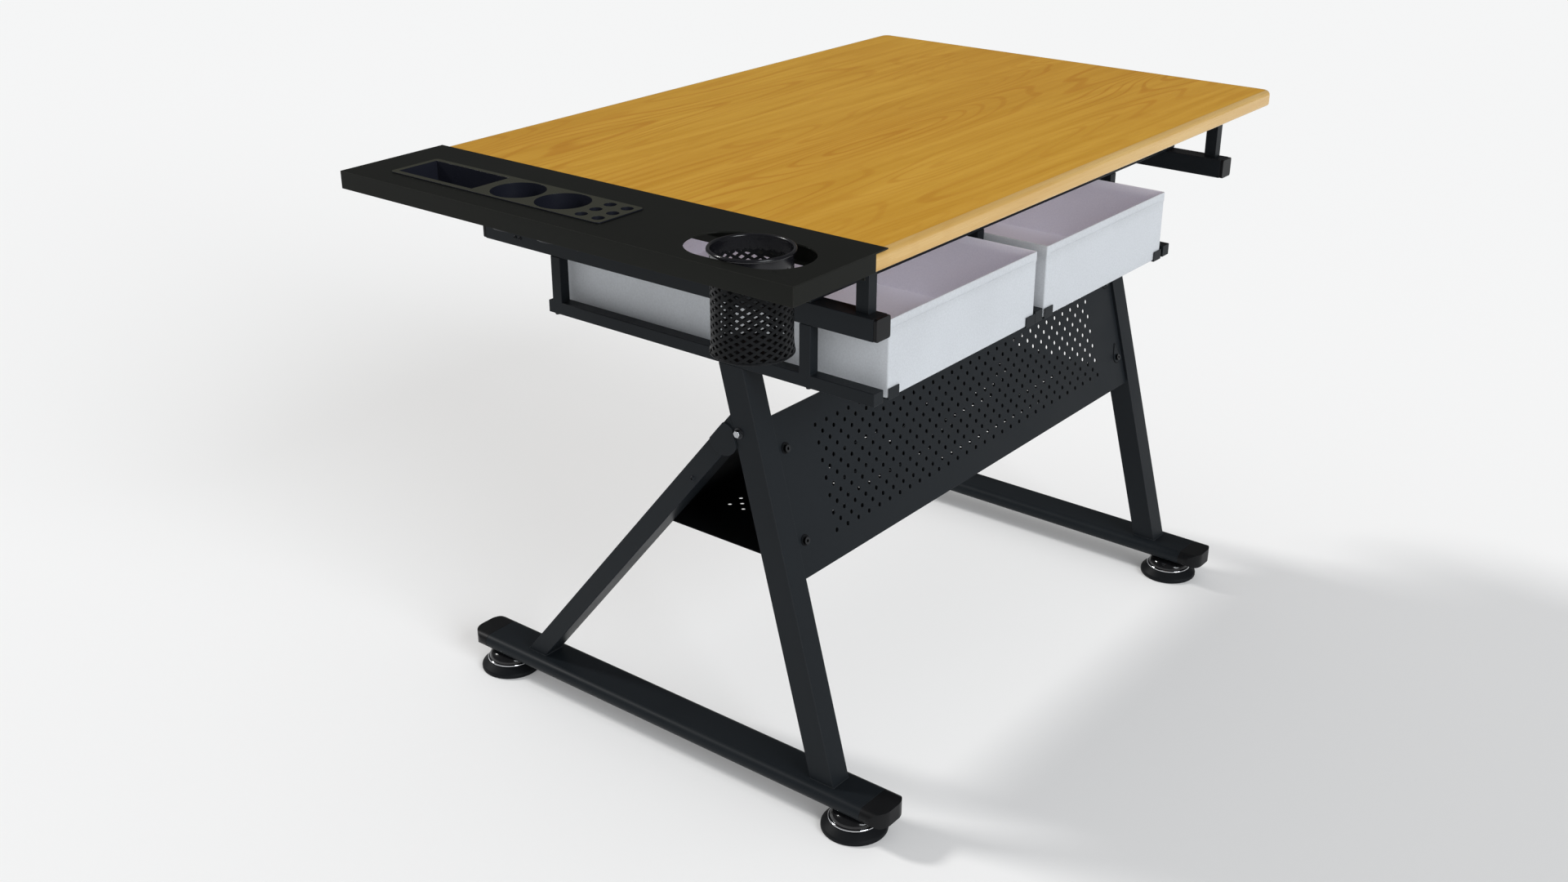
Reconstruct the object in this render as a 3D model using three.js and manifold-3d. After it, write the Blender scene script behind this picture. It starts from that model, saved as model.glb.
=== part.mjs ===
// Height-adjustable drafting table: a steel trestle frame with a tilting wooden top,
// a side tray with an organiser and a mesh cup, and two drawers hung under the top.
// Millimetres. +X is the user's right, +Y is the back, +Z is up.
// The origin is on the floor, at the centre of the footprint.
import * as THREE from 'three';
import { mergeVertices } from 'three/addons/utils/BufferGeometryUtils.js';
import Module from 'manifold-3d';

const wasm = await Module();
wasm.setup();

// ---------------------------------------------------------------- driving dimensions
const GAP = 0.3; // clearance kept between neighbouring pieces
const PIN_PLAY = 0.05; // radial play of a running pin
const ROUND = 36; // sides of a running pin or bore
const BOLT_ROUND = 16; // sides of a bolt or a bolt hole
const OVER = 5; // how far a cutting tool runs past the faces that it opens
const LAP = 0.5; // how far two joined solids run into each other

// wooden top
const TOP = { left: -415, right: 528, front: -342.2, back: 302.2, surface: 734.1, thick: 20 };
const BAND_WIDTH = 7;
const NOSING = 6;
const TOP_CORNER = 14;

// folded steel tray on the left of the top
const SHEET = 1.5;
const TRAY = { left: -528, lap: -378, skirtEnd: -398, front: -344, back: 304, top: 735.9, skirt: 20.3 };
const TRAY_FLANGE = { width: 26, inset: 14 };
const SLOT = { x: -466.5, front: -270.5, back: -214, radius: 43.7 };

// moulded organiser that drops into the tray
const ORGANISER = { x: -463, width: 69, front: -69, back: 255, rim: 1.4, depth: 38, wall: 1.5, corner: 5 };
const BIN = { width: 55, front: 128, back: 248 };
const WELL_RADIUS = 30.75;
const WELL_ROWS = [16, 84];
const PENCIL_RADIUS = 7;
const PENCIL_ROWS = [-56.4, -32.2];
const PENCIL_PITCH = 21.5;

// mesh cup that hangs in the slot of the tray
const CUP = { x: -466.5, y: -244.7, radius: 42.4, footRadius: 41.6, height: 108, wall: 1.6, collar: 20 };
const CUP_RIM = { radius: 44.7, height: 3.4, edge: 1 };

// two identical side frames, each measured from its outer left face
const SIDE_X = { left: -350.9, right: 455.5 };
const LEG_WIDTH = 30.5;
const TUBE_WALL = 1.8;
const BASE = { width: 60, height: 20.5, bottom: 31.5, tubeHalf: 314, half: 344 };
const BASE_CAP = { cornerRadius: 22, plug: 8 };
const FOOT_Y = { front: -287.4, back: 298 };
const FOOT = { neck: 28.4, stem: 5, thread: 9 };
const FOOT_PAD = [[0, 0], [39.5, 0], [40.5, 1], [40.5, 4], [31, 12.5], [31, 13.1]]; // [radius, height]
const FOOT_DOME = [[30, 17], [28.6, 21], [24, 25.6], [17, 29]]; // [radius, height]
const FOOT_RING = { bar: 1.6, height: 15.05, sides: 6 };
const FRONT_LEG = { atFloor: -280.57, lean: 0.26665, depth: 33.9 };
const REAR_LEG = { atFloor: 256.6, lean: -0.82453, depth: 31.5, top: 560 };
const KNEE = { y: -106.4, z: 458.1, radius: 20.3, thick: 2 };
const KNEE_BOLT = { y: -128.3, z: 470.1, head: 4.6, height: 4.5, shank: 3, hole: 3.3, length: 10 };

// upper rails, cross bars and drawer rails
const RAIL = { size: 25, front: -313.3, back: 273.8, bottom: 620.9 };
const RAIL_CAP = { lip: 4, plug: 16, corner: 2.5 };
const BAR = 15;
const FRONT_BAR_Y = -228.1;
const BACK_BAR_Y = 190;
const LEFT_POST_Y = 144; // back post of the left drawer rail, which hangs from the upper rail
const DRAWER_RAIL = { x: [-350.9, -26.8, 297.3], front: -312, back: 166, bottom: 549.4 };
const DRAWER_RAIL_SIZE = { width: 16.7, height: 15, wall: 1.6 };
const POST = { width: 14, wall: 1.5 };
const CHANNEL = { bottom: 553.2, top: 559.2 };

// drawers
const DRAWER = { x: [-325.1, -6.3], front: -311.5, back: 170, bottom: 551.1, top: 638.8 };
const DRAWER_WIDTH = 296.1;
const DRAWER_WALL = 2.2;
const RUNNER = { sheet: 1.2, width: 19, tabTop: 562.5, backInset: 12 };
const TONGUE = { length: 224, fromWall: 0.6, fromFloor: 2.4, reach: 5, lap: 2 };

// tilt hinge and the two prop arms
const HINGE = { y: -288.75, z: 698 };
const HINGE_POST = { offset: 8.2, width: 14, depth: 16 };
const HINGE_BRACKET = { ear: 2, plate: 2.2, wing: 8, half: 14 };
const PROP = { reach: 200, pivotZ: 700, footZ: 656, length: 265, travel: 86.3, width: 16, thick: 4 };
const PIN_RADIUS = 4;
const ARM = { track: 5.5, blade: 8.8, ear: 13.1 }; // places across a rail, from its left face
const ARM_BRACKET = { ear: 3, plate: 2.2, wing: 20, half: 18 };
const TRACK = { wall: 3, above: 11, beyond: 14, slotPlay: 0.6, foot: [1, 24], sheet: 1.5 };

// perforated sheets between the side frames
const PANEL = { height: 197.7, thick: 1.5, inset: 4, middle: 390.5, corner: 18, play: 1 };
const SHELF = { top: 308, front: -185, ear: 30, drop: 20 };
const SHELF_BACK = { top: 420, inLeg: 14.5, tab: { reach: 11.5, z: [378, 408] } };
const PANEL_BOLT = { side: 15.8, rise: 56, hole: 2.9 };
const PANEL_SCREW = { head: 4.4, height: 4, socket: 2, shank: 2.5, length: 12 };
const LUG = { half: 10, thick: 3, margin: 8 };

const TOP_UNDERSIDE = TOP.surface - TOP.thick;
const RAIL_TOP = RAIL.bottom + RAIL.size;
const BASE_TOP = BASE.bottom + BASE.height;

// ---------------------------------------------------------------- solid helpers
function solid(geometry) {
  geometry.deleteAttribute('normal');
  geometry.deleteAttribute('uv');
  const merged = mergeVertices(geometry, 1e-4);
  return new wasm.Manifold(new wasm.Mesh({
    numProp: 3,
    vertProperties: new Float32Array(merged.attributes.position.array),
    triVerts: new Uint32Array(merged.index.array),
  }));
}

function geometryOf(manifold) {
  const mesh = manifold.getMesh();
  const geometry = new THREE.BufferGeometry();
  geometry.setAttribute('position', new THREE.BufferAttribute(new Float32Array(mesh.vertProperties), 3));
  geometry.setIndex(new THREE.BufferAttribute(new Uint32Array(mesh.triVerts), 1));
  return geometry;
}

function join(...pieces) {
  return pieces.reduce((whole, piece) => whole.add(piece));
}

function cut(body, ...tools) {
  return tools.reduce((rest, tool) => rest.subtract(tool), body);
}

function box([x0, x1], [y0, y1], [z0, z1]) {
  const geometry = new THREE.BoxGeometry(x1 - x0, y1 - y0, z1 - z0);
  geometry.translate((x0 + x1) / 2, (y0 + y1) / 2, (z0 + z1) / 2);
  return solid(geometry);
}

// three.js draws each arc of a shape with twice the curve segments asked for
function extrude(shape, depth, segments, bevel = {}) {
  const flat = { depth, bevelEnabled: false, curveSegments: Math.ceil(segments / 2) };
  return new THREE.ExtrudeGeometry(shape, { ...flat, ...bevel });
}

// a shape drawn in (y, z) and extruded from x0 to x1
function alongX(shape, [x0, x1], segments = 12) {
  const geometry = extrude(shape, x1 - x0, segments);
  const axes = new THREE.Matrix4().makeBasis(
    new THREE.Vector3(0, 1, 0),
    new THREE.Vector3(0, 0, 1),
    new THREE.Vector3(1, 0, 0),
  );
  geometry.applyMatrix4(axes);
  geometry.translate(x0, 0, 0);
  return solid(geometry);
}

// a shape drawn in (x, z) and extruded from y0 to y1
function alongY(shape, [y0, y1], segments = 12) {
  const geometry = extrude(shape, y1 - y0, segments);
  geometry.rotateX(Math.PI / 2);
  geometry.translate(0, y1, 0);
  return solid(geometry);
}

// a shape drawn in (x, y) and extruded from z0 to z1
function alongZ(shape, [z0, z1], segments = 12) {
  const geometry = extrude(shape, z1 - z0, segments);
  geometry.translate(0, 0, z0);
  return solid(geometry);
}

function polygon(points) {
  return new THREE.Shape(points.map(([u, v]) => new THREE.Vector2(u, v)));
}

function rounded([u0, u1], [v0, v1], radius) {
  const shape = new THREE.Shape();
  shape.moveTo(u0 + radius, v0);
  shape.lineTo(u1 - radius, v0);
  shape.absarc(u1 - radius, v0 + radius, radius, -Math.PI / 2, 0, false);
  shape.lineTo(u1, v1 - radius);
  shape.absarc(u1 - radius, v1 - radius, radius, 0, Math.PI / 2, false);
  shape.lineTo(u0 + radius, v1);
  shape.absarc(u0 + radius, v1 - radius, radius, Math.PI / 2, Math.PI, false);
  shape.lineTo(u0, v0 + radius);
  shape.absarc(u0 + radius, v0 + radius, radius, Math.PI, 1.5 * Math.PI, false);
  return shape;
}

function disc(u, v, radius) {
  const shape = new THREE.Shape();
  shape.absarc(u, v, radius, 0, 2 * Math.PI, false);
  return shape;
}

function pinX(y, z, radius, span, sides = ROUND) {
  return alongX(disc(y, z, radius), span, sides);
}

function pinZ(x, y, radius, span, sides = ROUND) {
  return alongZ(disc(x, y, radius), span, sides);
}

// a solid turned about the vertical through (x, y), from [radius, height] pairs
function turned(profile, x, y, sides) {
  const points = profile.map(([r, z]) => new THREE.Vector2(r, z));
  const geometry = new THREE.LatheGeometry(points, sides);
  geometry.rotateX(Math.PI / 2);
  geometry.translate(x, y, 0);
  return solid(geometry);
}

// ---------------------------------------------------------------- materials and tree
function finish(color, roughness, metalness) {
  return new THREE.MeshStandardMaterial({ color, roughness, metalness, flatShading: true });
}

const FINISH = {
  wood: [0xc99a4b, 0.42, 0],
  edge: [0xdcb877, 0.45, 0],
  steel: [0x2c2d2e, 0.5, 0.4],
  plastic: [0x1d1e20, 0.45, 0],
  olive: [0x4a4a40, 0.5, 0],
  rubber: [0x202122, 0.8, 0],
  chrome: [0xd8dade, 0.15, 1],
  fabric: [0xdfe1e4, 0.9, 0],
};

const table = new THREE.Group();

function group(parent = table) {
  const node = new THREE.Group();
  parent.add(node);
  return node;
}

function add(parent, name, manifold, look) {
  const mesh = new THREE.Mesh(geometryOf(manifold), finish(...FINISH[look]));
  mesh.name = name;
  parent.add(mesh);
  return mesh;
}

// ---------------------------------------------------------------- tilting top
function boardOutline(inset) {
  const shape = rounded(
    [TOP.left, TOP.right - inset],
    [TOP.front + inset, TOP.back - inset],
    TOP_CORNER - inset,
  );
  return shape;
}

function squareLeftEnd(inset) {
  const reach = 2 * TOP_CORNER;
  return box(
    [TOP.left, TOP.left + reach],
    [TOP.front + inset, TOP.back - inset],
    [TOP_UNDERSIDE, TOP.surface],
  );
}

// the core of the board, with a shallow rebate for the lap of the tray
function boardCore(inset) {
  const slab = alongZ(boardOutline(inset), [TOP_UNDERSIDE, TOP.surface], 8);
  const rebate = box(
    [TOP.left - OVER, TRAY.lap + GAP],
    [TOP.front, TOP.back],
    [TOP.surface - GAP, TOP.surface + OVER],
  );
  return cut(join(slab, squareLeftEnd(inset)), rebate);
}

// half-round nosing along the front, right and back edges, drawn long and cut square at the left
function edgeBand() {
  const runOut = 3 * TOP_CORNER;
  const shape = rounded(
    [TOP.left - runOut, TOP.right - NOSING],
    [TOP.front + NOSING, TOP.back - NOSING],
    TOP_CORNER - NOSING,
  );
  const geometry = extrude(shape, TOP.thick - 2 * NOSING, 8, {
    bevelEnabled: true,
    bevelThickness: NOSING,
    bevelSize: NOSING,
    bevelSegments: 4,
  });
  geometry.translate(0, 0, TOP_UNDERSIDE + NOSING);
  const through = [TOP_UNDERSIDE - OVER, TOP.surface + OVER];
  const leftEnd = box([TOP.left - 2 * runOut, TOP.left], [TOP.front - OVER, TOP.back + OVER], through);
  const core = box(
    [TOP.left - OVER, TOP.left + runOut],
    [TOP.front + BAND_WIDTH, TOP.back - BAND_WIDTH],
    through,
  );
  return cut(solid(geometry), leftEnd, core, alongZ(boardOutline(BAND_WIDTH), through, 8));
}

function stadium(radius) {
  const shape = new THREE.Shape();
  shape.absarc(SLOT.x, SLOT.front, radius, Math.PI, 2 * Math.PI, false);
  shape.absarc(SLOT.x, SLOT.back, radius, 0, Math.PI, false);
  return shape;
}

function organiserSpan(width) {
  return [ORGANISER.x - width / 2, ORGANISER.x + width / 2];
}

function tray() {
  const under = TRAY.top - SHEET;
  const low = TRAY.top - TRAY.skirt;
  const wall = TOP.left - GAP;
  const flangeTop = TOP_UNDERSIDE - GAP;
  const skirtX = [TRAY.left, TRAY.skirtEnd];
  const sheet = join(
    box([TRAY.left, TRAY.lap], [TRAY.front, TRAY.back], [under, TRAY.top]),
    box([TRAY.left, TRAY.left + SHEET], [TRAY.front, TRAY.back], [low, TRAY.top]),
    box(skirtX, [TRAY.front, TRAY.front + SHEET], [low, TRAY.top]),
    box(skirtX, [TRAY.back - SHEET, TRAY.back], [low, TRAY.top]),
    box([wall - SHEET, wall], [TRAY.front, TRAY.back], [flangeTop - SHEET, TRAY.top]),
    box(
      [wall - SHEET, wall + TRAY_FLANGE.width],
      [TRAY.front + TRAY_FLANGE.inset, TRAY.back - TRAY_FLANGE.inset],
      [flangeTop - SHEET, flangeTop],
    ),
  );
  const through = [under - OVER, TRAY.top + OVER];
  const seatWidth = ORGANISER.width / 2 - WELL_RADIUS - ORGANISER.wall - GAP;
  const opening = rounded(
    organiserSpan(ORGANISER.width - 2 * seatWidth),
    [ORGANISER.front + seatWidth + GAP, ORGANISER.back - seatWidth - GAP],
    seatWidth,
  );
  return cut(sheet, alongZ(stadium(SLOT.radius), through, 24), alongZ(opening, through, 4));
}

function organiser() {
  const seat = TRAY.top + GAP;
  const rim = seat + ORGANISER.rim;
  const floor = rim - ORGANISER.depth;
  const { wall, corner } = ORGANISER;
  const above = rim + OVER;
  const binX = organiserSpan(BIN.width);
  const pencilX = [-1, 0, 1].map((column) => ORGANISER.x + column * PENCIL_PITCH);
  const plate = rounded(organiserSpan(ORGANISER.width), [ORGANISER.front, ORGANISER.back], corner);
  let body = alongZ(plate, [seat, rim], 4);
  let hollows = box(binX, [BIN.front, BIN.back], [floor + wall, above]);
  body = join(body, box(
    [binX[0] - wall, binX[1] + wall],
    [BIN.front - wall, BIN.back + wall],
    [floor, seat + LAP],
  ));
  for (const y of WELL_ROWS) {
    body = join(body, pinZ(ORGANISER.x, y, WELL_RADIUS + wall, [floor, seat + LAP], 40));
    hollows = join(hollows, pinZ(ORGANISER.x, y, WELL_RADIUS, [floor + wall, above], 40));
  }
  for (const y of PENCIL_ROWS) {
    for (const x of pencilX) {
      body = join(body, pinZ(x, y, PENCIL_RADIUS + wall, [floor, seat + LAP], 20));
      hollows = join(hollows, pinZ(x, y, PENCIL_RADIUS, [floor + wall, above], 20));
    }
  }
  return cut(body, hollows);
}

function meshCup() {
  const seat = TRAY.top + GAP;
  const top = seat + CUP_RIM.height;
  const bottom = top - CUP.height;
  const inside = CUP.radius - CUP.wall;
  const outline = [
    [0, bottom],
    [CUP.footRadius, bottom],
    [CUP.radius, seat - CUP.collar],
    [CUP.radius, seat],
    [CUP_RIM.radius, seat],
    [CUP_RIM.radius, top - CUP_RIM.edge],
    [CUP_RIM.radius - CUP_RIM.edge, top],
    [inside + CUP_RIM.edge, top],
    [inside, top - CUP_RIM.edge],
    [inside, seat - CUP.collar],
    [CUP.footRadius - CUP.wall, bottom + CUP.wall],
    [0, bottom + CUP.wall],
  ];
  return turned(outline, CUP.x, CUP.y, 48);
}

// ---------------------------------------------------------------- hinge and prop arms
function roundEnded([y0, y1], [z0, z1], radius, end) {
  const middle = (y0 + y1) / 2;
  const shape = new THREE.Shape();
  if (end === 'top') {
    shape.moveTo(y0, z0);
    shape.lineTo(y1, z0);
    shape.absarc(middle, z1, radius, 0, Math.PI, false);
  } else {
    shape.moveTo(y1, z1);
    shape.lineTo(y0, z1);
    shape.absarc(middle, z0, radius, Math.PI, 2 * Math.PI, false);
  }
  return shape;
}

function span(x, width) {
  return [x, x + width];
}

function hingePost() {
  const half = HINGE_POST.depth / 2;
  const face = roundEnded([HINGE.y - half, HINGE.y + half], [RAIL_TOP + GAP, HINGE.z], half, 'top');
  const bore = pinX(HINGE.y, HINGE.z, PIN_RADIUS + PIN_PLAY, [0, RAIL.size]);
  return cut(alongX(face, span(HINGE_POST.offset, HINGE_POST.width), 16), bore);
}

// a yoke screwed under the top that holds the hinge pin on both sides of the post
function hingeBracket() {
  const { ear, plate, wing } = HINGE_BRACKET;
  const half = HINGE_POST.depth / 2;
  const plateTop = TOP_UNDERSIDE - GAP;
  const left = HINGE_POST.offset - GAP - ear;
  const right = HINGE_POST.offset + HINGE_POST.width + GAP;
  const faceZ = [HINGE.z, plateTop - plate / 2];
  const face = roundEnded([HINGE.y - half, HINGE.y + half], faceZ, half, 'bottom');
  return join(
    box(
      [left - wing, right + ear + wing],
      [HINGE.y - HINGE_BRACKET.half, HINGE.y + HINGE_BRACKET.half],
      [plateTop - plate, plateTop],
    ),
    alongX(face, span(left, ear), 16),
    alongX(face, span(right, ear), 16),
    pinX(HINGE.y, HINGE.z, PIN_RADIUS, [left - ear, right + 2 * ear]),
  );
}

function propFoot() {
  const drop = PROP.pivotZ - PROP.footZ;
  const run = Math.sqrt(PROP.length ** 2 - drop ** 2);
  return HINGE.y + PROP.reach + run;
}

function propArm() {
  const pivotY = HINGE.y + PROP.reach;
  const half = PROP.width / 2;
  const slope = Math.atan2(PROP.footZ - PROP.pivotZ, propFoot() - pivotY);
  const bar = new THREE.Shape();
  const turn = Math.PI / 2;
  bar.absarc(pivotY, PROP.pivotZ, half, slope + turn, slope + 3 * turn, false);
  bar.absarc(propFoot(), PROP.footZ, half, slope - turn, slope + turn, false);
  const blade = alongX(bar, span(ARM.blade, PROP.thick), 16);
  const bore = pinX(pivotY, PROP.pivotZ, PIN_RADIUS + PIN_PLAY, [0, RAIL.size]);
  const foot = pinX(propFoot(), PROP.footZ, PIN_RADIUS, [ARM.track - TRACK.wall, ARM.blade + LAP]);
  return join(cut(blade, bore), foot);
}

// a plate under the top with one ear and the pin that a prop arm swings on
function armBracket() {
  const { ear, plate, wing } = ARM_BRACKET;
  const pivotY = HINGE.y + PROP.reach;
  const half = PROP.width / 2;
  const plateTop = TOP_UNDERSIDE - GAP;
  const faceZ = [PROP.pivotZ, plateTop - plate / 2];
  const face = roundEnded([pivotY - half, pivotY + half], faceZ, half, 'bottom');
  return join(
    box(
      [ARM.ear, ARM.ear + wing],
      [pivotY - ARM_BRACKET.half, pivotY + ARM_BRACKET.half],
      [plateTop - plate, plateTop],
    ),
    alongX(face, span(ARM.ear, ear), 16),
    pinX(pivotY, PROP.pivotZ, PIN_RADIUS, [ARM.blade - GAP, ARM.ear + LAP]),
  );
}

// an angle on top of the rail with the slot that guides the foot of a prop arm
function armTrack() {
  const base = RAIL_TOP + GAP;
  const radius = PIN_RADIUS + TRACK.slotPlay;
  const back = propFoot();
  const front = back - PROP.travel;
  const y = [front - TRACK.beyond, back + TRACK.beyond];
  const slot = new THREE.Shape();
  slot.absarc(front, PROP.footZ, radius, Math.PI / 2, 1.5 * Math.PI, false);
  slot.absarc(back, PROP.footZ, radius, -Math.PI / 2, Math.PI / 2, false);
  const wall = box(span(ARM.track, TRACK.wall), y, [base, PROP.footZ + TRACK.above]);
  const foot = box(TRACK.foot, y, [base, base + TRACK.sheet]);
  return cut(join(wall, foot), alongX(slot, [0, ARM.blade], 16));
}

// ---------------------------------------------------------------- side frames
function ovalSection(inset) {
  const middle = LEG_WIDTH / 2;
  const radius = BASE.height / 2 - inset;
  const flat = BASE.width / 2 - BASE.height / 2;
  const z = BASE.bottom + BASE.height / 2;
  const shape = new THREE.Shape();
  shape.absarc(middle + flat, z, radius, -Math.PI / 2, Math.PI / 2, false);
  shape.absarc(middle - flat, z, radius, Math.PI / 2, 1.5 * Math.PI, false);
  return shape;
}

function baseTube() {
  const half = BASE.tubeHalf;
  const outer = alongY(ovalSection(0), [-half, half], 10);
  const inner = alongY(ovalSection(TUBE_WALL), [-half - OVER, half + OVER], 10);
  const bores = Object.values(FOOT_Y).map((y) => (
    pinZ(LEG_WIDTH / 2, y, FOOT.stem + PIN_PLAY, [BASE.bottom - OVER, BASE.bottom + OVER])
  ));
  return cut(outer, inner, ...bores);
}

function baseCap(direction) {
  const seam = BASE.tubeHalf + GAP;
  const middle = LEG_WIDTH / 2;
  const { cornerRadius, plug } = BASE_CAP;
  const reach = (y0, y1) => [direction * y0, direction * y1].sort((a, b) => a - b);
  const plan = rounded(
    [middle - BASE.width / 2, middle + BASE.width / 2],
    reach(seam - BASE.width, BASE.half),
    cornerRadius,
  );
  const nose = alongY(ovalSection(0), reach(seam, BASE.half), 10)
    .intersect(alongZ(plan, [BASE.bottom - OVER, BASE_TOP + OVER], 10));
  const insert = alongY(ovalSection(TUBE_WALL + GAP), reach(seam - plug, seam + LAP), 10);
  return join(nose, insert);
}

// the neck between the pad and the dome leaves a seat for the ring
function levellingFoot(y) {
  const under = BASE.bottom - GAP;
  const { neck, stem, thread } = FOOT;
  const shoulder = FOOT_PAD.at(-1)[1];
  const collar = FOOT_DOME[0][1];
  const outline = [
    ...FOOT_PAD,
    [neck, shoulder],
    [neck, collar],
    ...FOOT_DOME,
    [2 * stem, under],
    [stem, under],
    [stem, under + thread],
    [0, under + thread],
  ];
  return turned(outline, LEG_WIDTH / 2, y, 32);
}

function footRing(y) {
  const { bar, height, sides } = FOOT_RING;
  const middle = FOOT.neck + GAP + bar;
  const outline = [];
  for (let step = 0; step <= sides; step += 1) {
    const angle = (step / sides) * 2 * Math.PI;
    outline.push([middle + bar * Math.cos(angle), height + bar * Math.sin(angle)]);
  }
  return turned(outline, LEG_WIDTH / 2, y, 32);
}

// the y of a leg's front face at a height
function legY(leg, z) {
  return leg.atFloor + leg.lean * z;
}

function slantedTube(leg, bottom, top) {
  const face = (inset, low, high) => polygon([
    [legY(leg, low) + inset, low],
    [legY(leg, low) + leg.depth - inset, low],
    [legY(leg, high) + leg.depth - inset, high],
    [legY(leg, high) + inset, high],
  ]);
  const outer = alongX(face(0, bottom, top), [0, LEG_WIDTH]);
  const wide = TUBE_WALL * Math.sqrt(1 + leg.lean ** 2);
  const through = face(wide, bottom - leg.depth, top + leg.depth);
  const inner = alongX(through, [TUBE_WALL, LEG_WIDTH - TUBE_WALL]);
  return cut(outer, inner);
}

// lugs on the inner face of a front leg that the front panel is bolted to
function panelLugs(inward) {
  const { half, thick, margin } = LUG;
  const reach = PANEL_BOLT.side + margin;
  const x = inward > 0 ? [LEG_WIDTH - LAP, LEG_WIDTH + reach] : [-reach, LAP];
  const hole = inward > 0 ? LEG_WIDTH + PANEL_BOLT.side : -PANEL_BOLT.side;
  const bore = pinZ(hole, 0, PANEL_BOLT.hole, [-OVER, OVER], BOLT_ROUND);
  const lug = cut(box(x, [-half, half], [-thick, 0]), bore);
  const behindPanel = -PANEL.inset - PANEL.thick - GAP;
  return [-1, 1].map((side) => onPanelPlane(lug.translate([0, PANEL_BOLT.rise * side, behindPanel])));
}

// moves a solid from panel coordinates (along the plane, out of the plane) to the leg's face
function panelMatrix() {
  const lean = Math.atan(FRONT_LEG.lean);
  const matrix = new THREE.Matrix4().makeBasis(
    new THREE.Vector3(1, 0, 0),
    new THREE.Vector3(0, Math.sin(lean), Math.cos(lean)),
    new THREE.Vector3(0, -Math.cos(lean), Math.sin(lean)),
  );
  matrix.setPosition(0, legY(FRONT_LEG, PANEL.middle), PANEL.middle);
  return matrix;
}

function onPanelPlane(piece) {
  return piece.transform(panelMatrix().elements);
}

function frontLeg(inward, top) {
  const tube = slantedTube(FRONT_LEG, BASE_TOP + GAP, top);
  const boltHole = pinX(KNEE_BOLT.y, KNEE_BOLT.z, KNEE_BOLT.hole, [-OVER, LEG_WIDTH / 2], BOLT_ROUND);
  return join(cut(tube, boltHole), ...panelLugs(inward));
}

// everything within a reach beyond a plane parallel to a leg, offset from its front face
function beyondPlane(leg, offset, reach, x) {
  const low = legY(leg, BASE_TOP) + offset;
  const high = legY(leg, RAIL_TOP) + offset;
  const face = polygon([
    [low, BASE_TOP],
    [low + reach, BASE_TOP],
    [high + reach, RAIL_TOP],
    [high, RAIL_TOP],
  ]);
  return alongX(face, x);
}

// everything ahead of the rear face of a front leg
function aheadOfFrontLeg(x) {
  const meets = GAP * Math.sqrt(1 + FRONT_LEG.lean ** 2) + FRONT_LEG.depth;
  return beyondPlane(FRONT_LEG, meets, FRONT_LEG.atFloor - REAR_LEG.atFloor, x);
}

function rearLeg() {
  const tube = slantedTube(REAR_LEG, BASE_TOP + GAP, REAR_LEG.top);
  return cut(tube, aheadOfFrontLeg([-OVER, LEG_WIDTH + OVER]));
}

// a round gusset on the outer face of the rear leg, flush with the leg's back and stopped by the front leg
function kneePlate() {
  const disc = pinX(KNEE.y, KNEE.z, KNEE.radius, [-GAP - KNEE.thick, -GAP]);
  const x = [-KNEE.thick - OVER, OVER];
  return cut(disc, aheadOfFrontLeg(x), beyondPlane(REAR_LEG, REAR_LEG.depth, 2 * KNEE.radius, x));
}

function kneeBolt() {
  const { y, z, head, height, shank, length } = KNEE_BOLT;
  const outer = -GAP;
  return join(
    pinX(y, z, head, [outer - height, outer], 6),
    pinX(y, z, shank, [outer - LAP, length], BOLT_ROUND),
  );
}

function railTube() {
  const { lip } = RAIL_CAP;
  const ends = [RAIL.front + lip + GAP, RAIL.back - lip - GAP];
  const outer = box([0, RAIL.size], ends, [RAIL.bottom, RAIL_TOP]);
  const inner = box(
    [TUBE_WALL, RAIL.size - TUBE_WALL],
    [ends[0] - OVER, ends[1] + OVER],
    [RAIL.bottom + TUBE_WALL, RAIL_TOP - TUBE_WALL],
  );
  return cut(outer, inner);
}

function railCap(direction) {
  const { lip, plug, corner } = RAIL_CAP;
  const end = direction < 0 ? RAIL.front : RAIL.back;
  const inset = TUBE_WALL + GAP;
  const reach = (y0, y1) => [end - direction * y0, end - direction * y1].sort((a, b) => a - b);
  const face = rounded([0, RAIL.size], [RAIL.bottom, RAIL_TOP], corner);
  return join(
    alongY(face, reach(0, lip), 3),
    box([inset, RAIL.size - inset], reach(lip - LAP, plug), [RAIL.bottom + inset, RAIL_TOP - inset]),
  );
}

// ---------------------------------------------------------------- bars and drawer rails
// a square tube laid across the upper rails
function crossBar(y) {
  const z = RAIL_TOP + GAP;
  const x = [SIDE_X.left, SIDE_X.right + RAIL.size];
  const outer = box(x, [y, y + BAR], [z, z + BAR]);
  const inner = box(
    [x[0] - OVER, x[1] + OVER],
    [y + TUBE_WALL, y + BAR - TUBE_WALL],
    [z + TUBE_WALL, z + BAR - TUBE_WALL],
  );
  return cut(outer, inner);
}

// a hollow post that stands on a drawer rail, closed at its foot
function post(x, y, top) {
  const { width, wall } = POST;
  const base = DRAWER_RAIL.bottom + DRAWER_RAIL_SIZE.height - LAP;
  const outer = box([x, x + width], [y, y + BAR], [base, top]);
  const inner = box([x + wall, x + width - wall], [y + wall, y + BAR - wall], [base + wall, top + OVER]);
  return cut(outer, inner);
}

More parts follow.
